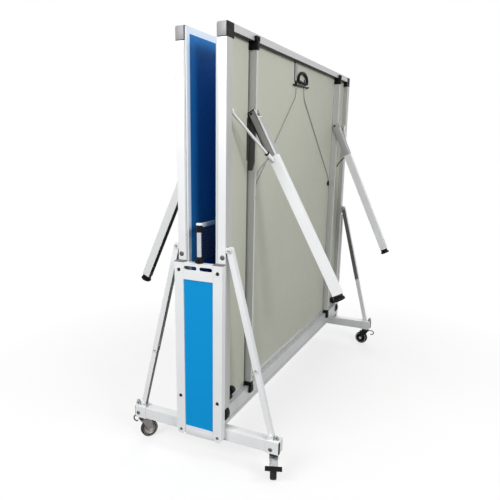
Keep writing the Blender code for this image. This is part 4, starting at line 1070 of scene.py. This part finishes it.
BASE_BAR = (-0.105, 0.088)       # along Y
BASE_BAR_X = (0.0046, 0.0105)    # up from the board
BASE_FOOT, BASE_FOOT_RISE = 0.010, 0.006
BACKING_HALF, BACKING_RISE = 0.070, 0.0012
BASE_BAR_LOW, BASE_BAR_HIGH = 1.4042, 1.4088
BASE_TILT = math.radians(1.4)
BACKING_TOP = 1.4178
STRAP_TOP, STRAP_LOW = -0.079, -0.072   # across the half
STRAP_WIDTH = 0.020
STRAP_SHADOWS = {-1: 0.0075, 1: 0.0055}
STRAP_RISE = 0.0016
STRAP_SHADOW_RISE = 0.0022
STRAP_END_Z = BASE_BAR_HIGH + 0.012
BUCKLE_Y = (STRAP_LOW - 0.008, STRAP_LOW + 0.007)
BUCKLE_RISE, BUCKLE_TOP = 0.007, BASE_BAR_HIGH + 0.016
CLIP_OUT = 0.036                 # hinge clips, from the handle's middle
CLIP_X = UNDER_X + 0.0009
CLIP_RADIUS, CLIP_WALL, CLIP_WIDTH, CLIP_FOOT = 0.0066, 0.0016, 0.010, 0.011


def handle_fittings(side):
    """Base bar over the cable's loop, hinge clips, and the strap up to the end apron."""
    low, high = BASE_BAR
    back, front = [UNDER_X + x for x in BASE_BAR_X]
    bottom, top = BASE_BAR_LOW - 0.001, BASE_BAR_HIGH + 0.001
    parts = [(block((back, low, BASE_BAR_LOW), (front, high, BASE_BAR_HIGH), 0.0012), BLACK)]
    for y, inner in ((low, low + BASE_FOOT), (high, high - BASE_FOOT)):
        foot = block((UNDER_X + 2 * SEAT, y, bottom), (UNDER_X + BASE_FOOT_RISE, inner, top), 0.0008)
        at = (front, (y + inner) / 2, (BASE_BAR_LOW + BASE_BAR_HIGH) / 2)
        parts += [(foot, BLACK), (pan_screw(at, (1, 0, 0), 0.002), DARK_BOLT)]
    backing = block((ON_BOARD, HINGE.y - BACKING_HALF, top),
                    (UNDER_X + BACKING_RISE, HINGE.y + BACKING_HALF, BACKING_TOP), 0.0003)
    parts.append((backing, WHITE))
    hub = Matrix.Translation((0, low, BASE_BAR_LOW))
    tilt = hub @ Matrix.Rotation(BASE_TILT, 4, "X") @ hub.inverted()
    for mesh, _ in parts:
        mesh.transform(tilt)
    parts += [(hinge_clip(HINGE.y + flank * CLIP_OUT), BLACK) for flank in (-1, 1)]
    half_piece(side, "handle_base", parts)
    buckle = block((ON_BOARD, BUCKLE_Y[0], top), (UNDER_X + BUCKLE_RISE, BUCKLE_Y[1], BUCKLE_TOP), 0.0015)
    parts = [(strap_band(STRAP_WIDTH, STRAP_RISE), TAPE_WHITE), (buckle, BLACK)]
    # dark bands along both edges of the strap, in the net thread's colour: painted shadow
    parts += [(strap_band(width, STRAP_SHADOW_RISE, s * STRAP_WIDTH / 2), NET_THREAD)
              for s, width in STRAP_SHADOWS.items()]
    half_piece(side, "handle_strap", parts)


def strap_band(width, rise, shift=0.0):
    """A flat band on the board, slanting from the end apron down to the handle's base bar."""
    top, low, half = END_APRON_Z - 2 * SEAT, STRAP_END_Z, width / 2
    start, stop = STRAP_LOW + shift, STRAP_TOP + shift
    outline = [(start - half, low), (start + half, low), (stop + half, top), (stop - half, top)]
    place = standing((UNDER_X + 2 * SEAT, 0, 0), (0, 1, 0), (0, 0, 1), (1, 0, 0))
    return plate(outline, rise, 0.0003, place)


def hinge_clip(y):
    """Bent strap that holds the handle's straight bar against the board."""
    top, low = HINGE.z + CLIP_RADIUS, HINGE.z - CLIP_RADIUS
    turns = [math.radians(degrees) for degrees in range(0, 181, 15)]
    bow = [(HINGE.x + CLIP_RADIUS * math.sin(a), HINGE.z + CLIP_RADIUS * math.cos(a)) for a in turns]
    line = [(CLIP_X, top + CLIP_FOOT), (CLIP_X, top), *bow, (CLIP_X, low)]
    rings = []
    for i, (x, z) in enumerate(line):
        before, after = Vector(line[max(i - 1, 0)]), Vector(line[min(i + 1, len(line) - 1)])
        along = (after - before).normalized()
        out = Vector((-along.y, along.x)) * CLIP_WALL / 2
        if out.x < 0 and i < 2:
            out = -out
        rings.append([(x + s * out.x, y + t * CLIP_WIDTH / 2, z + s * out.y) for s, t in SQUARE])
    return skin(rings)


GUIDE_Z = 0.9706
GUIDE_Y = 0.5085
GUIDE_RADIUS = 0.010
GUIDE_RIM = 0.0125
GUIDE_AWAY = (0.905, 0.426)      # from the cable's bend to the guide's middle, inwards and down
CABLE_RADIUS = 0.0024            # with room


def cable_fittings(side):
    """Guide pulley at each bend of the cable, with its screw."""
    profile = [(0, 0.0002), (GUIDE_RIM, 0.0002), (GUIDE_RIM, 0.0012), (GUIDE_RADIUS, 0.0020),
               (GUIDE_RADIUS, 0.0046), (GUIDE_RIM, 0.0054), (GUIDE_RIM, 0.0068), (0.005, 0.0072),
               (0.005, 0.0088), (0, 0.0090)]
    for sign in (-1, 1):
        away = Vector((0, -sign * GUIDE_AWAY[0], -GUIDE_AWAY[1]))
        middle = Vector((UNDER_X, sign * GUIDE_Y, GUIDE_Z)) + away * (GUIDE_RADIUS + CABLE_RADIUS)
        screw = pan_screw(middle + Vector((0.0088, 0, 0)), (1, 0, 0), 0.0036)
        parts = [(lathe(profile, 32, pointing(middle, (1, 0, 0))), BLACK), (screw, ZINC_BOLT)]
        end_piece(side, sign, "cable_guide", parts)


# Legs and struts

LEG_END = 0.7052            # along the leg, hip to its open end
PAD_TOP, PAD_END = 0.7172, 0.7272
FOOT_OUT = 0.0031           # foot's middle, out from the hip's line
BRACE_LOW = Vector((0, 0.0125, -0.185))
BRACE_HIGH = Vector((0, 0.1762, 0))
HOOK_OUT = 0.0165
HOOK = ((-0.013, -0.168), (-0.028, -0.1725), (-0.048, -0.180), (-0.066, -0.189), (-0.076, -0.200))
HOOK_RADIUS = 0.0026
HOOK_FINISH = {-1: ZINC_BOLT, 1: BLACK}
HIP_RIVET = 0.017           # from the hip's middle
SLEEVE_UP, CLAMP_UP = 0.008, 0.0395     # along the brace
BRACE_BOLT_IN = 0.0060
PAD_LOBES = 9
PAD_STEPS = 72
PAD_RADIUS = 0.0198
PAD_WAVE = 0.0012
PAD_RIM, PAD_RIM_UP = 0.0086, 0.0008      # height, and start above the pad's end
PLUG_X, PLUG_HALF = (-0.0117, 0.0179), 0.0104
PLUG_Z = (-PAD_TOP - 0.0004, -LEG_END - 0.0006)


def leg_place(sign):
    """A leg's own frame: X out from the board, Y along the hip, Z up the leg, from the hip."""
    along = LEG_ALONG[sign]
    return standing((HIP.x, sign * HIP.y, HIP.z), (-along.z, 0, along.x), (0, 1, 0), (-along.x, 0, -along.z))


def leg_piece(side, sign, name, carrier, parts):
    """A piece of one leg, drawn in the leg's own frame, on the leg or its foot."""
    label = f"{side}_{end_of(side, sign)}"
    piece(f"{label}_{name}", f"{label}_{carrier}", parts, TURN[side] @ leg_place(sign))


def leg_fittings(side, sign):
    """Hip rivets, brace sleeve with its clamp, and the hook that holds the stored leg."""
    outwards = Vector((1, sign, 1))
    low, high = BRACE_LOW * outwards, BRACE_HIGH * outwards
    along = (high - low).normalized()
    parts = [(button_head((0, flank * HIP_RIVET, 0), (0, flank, 0), 0.0046, 0.0018), DARK_BOLT)
             for flank in (-1, 1)]
    sleeve = [(0.0052, 0), (0.0074, 0.0006), (0.0078, 0.002), (0.0078, 0.026), (0.0068, 0.0296),
              (0.0052, 0.030)]
    parts.append((lathe(sleeve, 24, pointing(low + along * SLEEVE_UP, along), ring=True), WHITE))
    clamp = [(0.0052, 0), (0.0088, 0.0004), (0.0088, 0.0044), (0.0052, 0.0048)]
    parts.append((lathe(clamp, 24, pointing(low + along * CLAMP_UP, along), ring=True), BLACK))
    bolt = high - Vector((0, sign * BRACE_BOLT_IN, 0))
    parts.append((button_head(bolt, (0, -sign, 0), 0.0070, 0.002), ZINC_BOLT))
    hook = [Vector((x, sign * HOOK_OUT, z)) for x, z in HOOK]
    parts.append((tube(hook, HOOK_RADIUS, 10), HOOK_FINISH[sign]))
    parts.append((button_head(hook[0] + Vector((0.003, 0, 0)), (0, sign, 0), 0.0042, 0.0024), DARK_BOLT))
    leg_piece(side, sign, "leg_fittings", "leg", parts)


CHANNEL_Z = (-0.166, 0.009)       # along the leg
CHANNEL_X = (-0.0112, 0.0185)     # across it
BACK_RIM, FRONT_RIM = (-0.0122, -0.0092), (0.0163, 0.0193)
END_RIM = (0.0065, 0.0095)
CHANNEL_RISE = 0.0042
CHANNEL_FACE = 0.0141          # outer faces of the leg's cheeks
CHANNEL_FLOOR = 0.0012
COVER_HALF, COVER_RISE = 0.0134, 0.0009
LEG_FRONT = 0.0213             # outer face of the leg
COVER_TOP = -0.0235


def leg_channel(side, sign):
    """Open steel slide on a leg's outer cheek, a cover on its front and a plate on its inner cheek; the
    slide's grey and its black back and end rims are painted shade of the open channel.
    """
    def strip(across, rise, edge=EDGE, along=CHANNEL_Z, flank=sign):
        corners = zip(across, (flank * CHANNEL_FACE, flank * (CHANNEL_FACE + rise)), along)
        return block(*corners, edge)

    cover = block((LEG_FRONT, -COVER_HALF, CHANNEL_Z[0]),
                  (LEG_FRONT + COVER_RISE, COVER_HALF, COVER_TOP), 0.0003)
    parts = [(strip(CHANNEL_X, CHANNEL_FLOOR, 0.0004), SHADED_SLIDE_STEEL),
             (strip(BACK_RIM, CHANNEL_RISE), BLACK),
             (strip(FRONT_RIM, CHANNEL_RISE), WHITE),
             (strip(CHANNEL_X, CHANNEL_RISE, along=END_RIM), BLACK),
             (cover, CAP_SILVER),
             (strip(CHANNEL_X, CHANNEL_FLOOR, 0.0004, flank=-sign), CAP_SILVER)]
    leg_piece(side, sign, "leg_channel", "leg", parts)


def foot_fittings(side, sign):
    """Black plug down to the pad, and the pad's lobed rim to turn it by."""
    plug = block(*zip(PLUG_X, (-PLUG_HALF, PLUG_HALF), PLUG_Z), 0.001)
    angles = [2 * math.pi * i / PAD_STEPS for i in range(PAD_STEPS)]
    reach = [PAD_RADIUS + PAD_WAVE * math.cos(PAD_LOBES * a) for a in angles]
    outline = [(FOOT_OUT + r * math.cos(a), r * math.sin(a)) for r, a in zip(reach, angles)]
    rim = plate(outline, PAD_RIM, 0.0008, Matrix.Translation((0, 0, PAD_RIM_UP - PAD_END)))
    leg_piece(side, sign, "foot_rim", "foot", [(plug, BLACK), (rim, BLACK)])


# Place, distance to both sides, radius and rise
STRUT_BOLTS = ((STRUT_LAP, 0.0105, 0.0056, 0.0026), (STRUT_TOP, 0.0165, 0.0050, 0.0022))


def strut_fittings(side, sign):
    """Bolts through a strut's lap and its upper pin."""
    label = f"{side}_{end_of(side, sign)}"
    parts = []
    for flank in (-1, 1):
        for at, reach, radius, rise in STRUT_BOLTS:
            place = (at.x, sign * STRUT_TOP.y + flank * reach, at.z)
            parts.append((button_head(place, (0, flank, 0), radius, rise), ZINC_BOLT))
    piece(f"{label}_strut_bolts", f"{label}_strut", parts, TURN[side])


# Stage

WORLD_LIGHT = 0.36
FLOOR_REACH = 9.0
FLOOR_TONE = 0.86
FLOOR_BOUNCE = 0.04
FLOOR_GLOW = 0.70            # share of plain white in the floor under the object
GLOW_REACH = (0.8, 1.7)      # from the middle, where the floor turns to plain white


def ray_share(tree):
    """1 for rays from the camera, from gloss and through glass, else 0."""
    path = add_node(tree, "ShaderNodeLightPath").outputs
    share = path["Is Camera Ray"]
    for name in ("Is Glossy Ray", "Is Transmission Ray"):
        larger = add_node(tree, "ShaderNodeMath", [(0, share), (1, path[name])], operation="MAXIMUM")
        share = larger.outputs[0]
    return share


def studio_world():
    """Soft even light, plain white to the camera and in reflections."""
    world = bpy.data.worlds.new("studio")
    world.use_nodes = True
    bpy.context.scene.world = world
    tree = world.node_tree
    strength = add_node(tree, "ShaderNodeMapRange", [(0, ray_share(tree)), (3, WORLD_LIGHT), (4, 1.0)])
    background = tree.nodes["Background"]
    background.inputs["Color"].default_value = (1, 1, 1, 1)
    tree.links.new(strength.outputs[0], background.inputs["Strength"])


def glow_share(tree):
    """Share of plain white in the floor, which grows with the distance from the object."""
    spot = add_node(tree, "ShaderNodeNewGeometry").outputs["Position"]
    away = add_node(tree, "ShaderNodeVectorMath", [(0, spot)], operation="LENGTH").outputs["Value"]
    levels = zip((1, 2, 3, 4), (*GLOW_REACH, FLOOR_GLOW, 1.0))
    return add_node(tree, "ShaderNodeMapRange", [(0, away), *levels]).outputs[0]


def studio_floor():
    """Pale floor: white to the camera with the object's shadow, duller as a source of light."""
    edit = bmesh.new()
    bmesh.ops.create_circle(edit, cap_ends=True, segments=96, radius=FLOOR_REACH)
    mesh = finished(edit, name="floor")
    if mesh.polygons[0].normal.z < 0:
        mesh.flip_normals()
    material = bpy.data.materials.new("pale_floor")
    material.use_nodes = True
    tree = material.node_tree
    tree.nodes.remove(tree.nodes["Principled BSDF"])
    seen, bounce = [add_node(tree, "ShaderNodeBsdfDiffuse", [("Color", (tone, tone, tone, 1))]).outputs[0]
                    for tone in (FLOOR_TONE, FLOOR_BOUNCE)]
    glow = add_node(tree, "ShaderNodeEmission", [("Strength", 1.0)]).outputs[0]
    pale = add_node(tree, "ShaderNodeMixShader", [(0, glow_share(tree)), (1, seen), (2, glow)]).outputs[0]
    both = add_node(tree, "ShaderNodeMixShader", [(0, ray_share(tree)), (1, bounce), (2, pale)]).outputs[0]
    tree.links.new(both, tree.nodes["Material Output"].inputs["Surface"])
    mesh.materials.append(material)
    floor = bpy.data.objects.new("floor", mesh)
    bpy.context.scene.collection.objects.link(floor)


LAMPS = {
    "key": ((-1.4, -4.3, 3.1), 2.4, 172.0),
    "front": ((2.2, -1.0, 2.4), 0.7, 27.0),
    "strip": ((4.0, -2.9, 2.8), 1.2, 74.0),
    "back": ((-1.5, 4.2, 3.2), 2.4, 80.0),
}
LAMP_TARGET = Vector((0, 0, 0.75))


def studio_lamps():
    for name, (place, size, power) in LAMPS.items():
        data = bpy.data.lights.new(name, "AREA")
        data.size = size
        data.energy = power
        lamp = bpy.data.objects.new(name, data)
        lamp.location = place
        lamp.rotation_mode = "QUATERNION"
        lamp.rotation_quaternion = (LAMP_TARGET - Vector(place)).to_track_quat("-Z", "Y")
        bpy.context.scene.collection.objects.link(lamp)


def studio_camera():
    data = bpy.data.cameras.new("camera")
    data.sensor_width = SENSOR_WIDTH
    data.lens = FOCAL_PIXELS / IMAGE_SIZE * SENSOR_WIDTH
    data.shift_x = (IMAGE_SIZE / 2 - CENTRE_PIXELS[0]) / IMAGE_SIZE
    data.shift_y = (CENTRE_PIXELS[1] - IMAGE_SIZE / 2) / IMAGE_SIZE
    camera = bpy.data.objects.new("camera", data)
    turn = (Matrix.Rotation(CAMERA_YAW, 4, "Z") @ Matrix.Rotation(math.pi / 2 - CAMERA_PITCH, 4, "X")
            @ Matrix.Rotation(CAMERA_ROLL, 4, "Z"))
    camera.matrix_world = Matrix.Translation(CAMERA_PLACE) @ turn
    bpy.context.scene.collection.objects.link(camera)
    bpy.context.scene.camera = camera


def main():
    studio_camera()
    studio_world()
    studio_floor()
    studio_lamps()
    bpy.context.scene.view_settings.view_transform = "Standard"
    dress_frame()
    trolley_bolts()
    foot_bar_caps()
    post_caps()
    kick_plates()
    strut_lugs()
    net_piece()
    net_post_fittings()
    for end in ENDS:
        for side in SIDES:
            wheel_piece(end, side)
            caster_fittings(end, side)
    for side in SIDES:
        court_lines(side)
        corner_plates(side)
        handle_fittings(side)
        net_apron_trim(side)
        cable_fittings(side)
        for sign in (-1, 1):
            side_fittings(side, sign)
            rail_fittings(side, sign)
            leg_shadow_strip(side, sign)
            latch(side, sign)
            leg_fittings(side, sign)
            leg_channel(side, sign)
            foot_fittings(side, sign)
            strut_fittings(side, sign)


main()
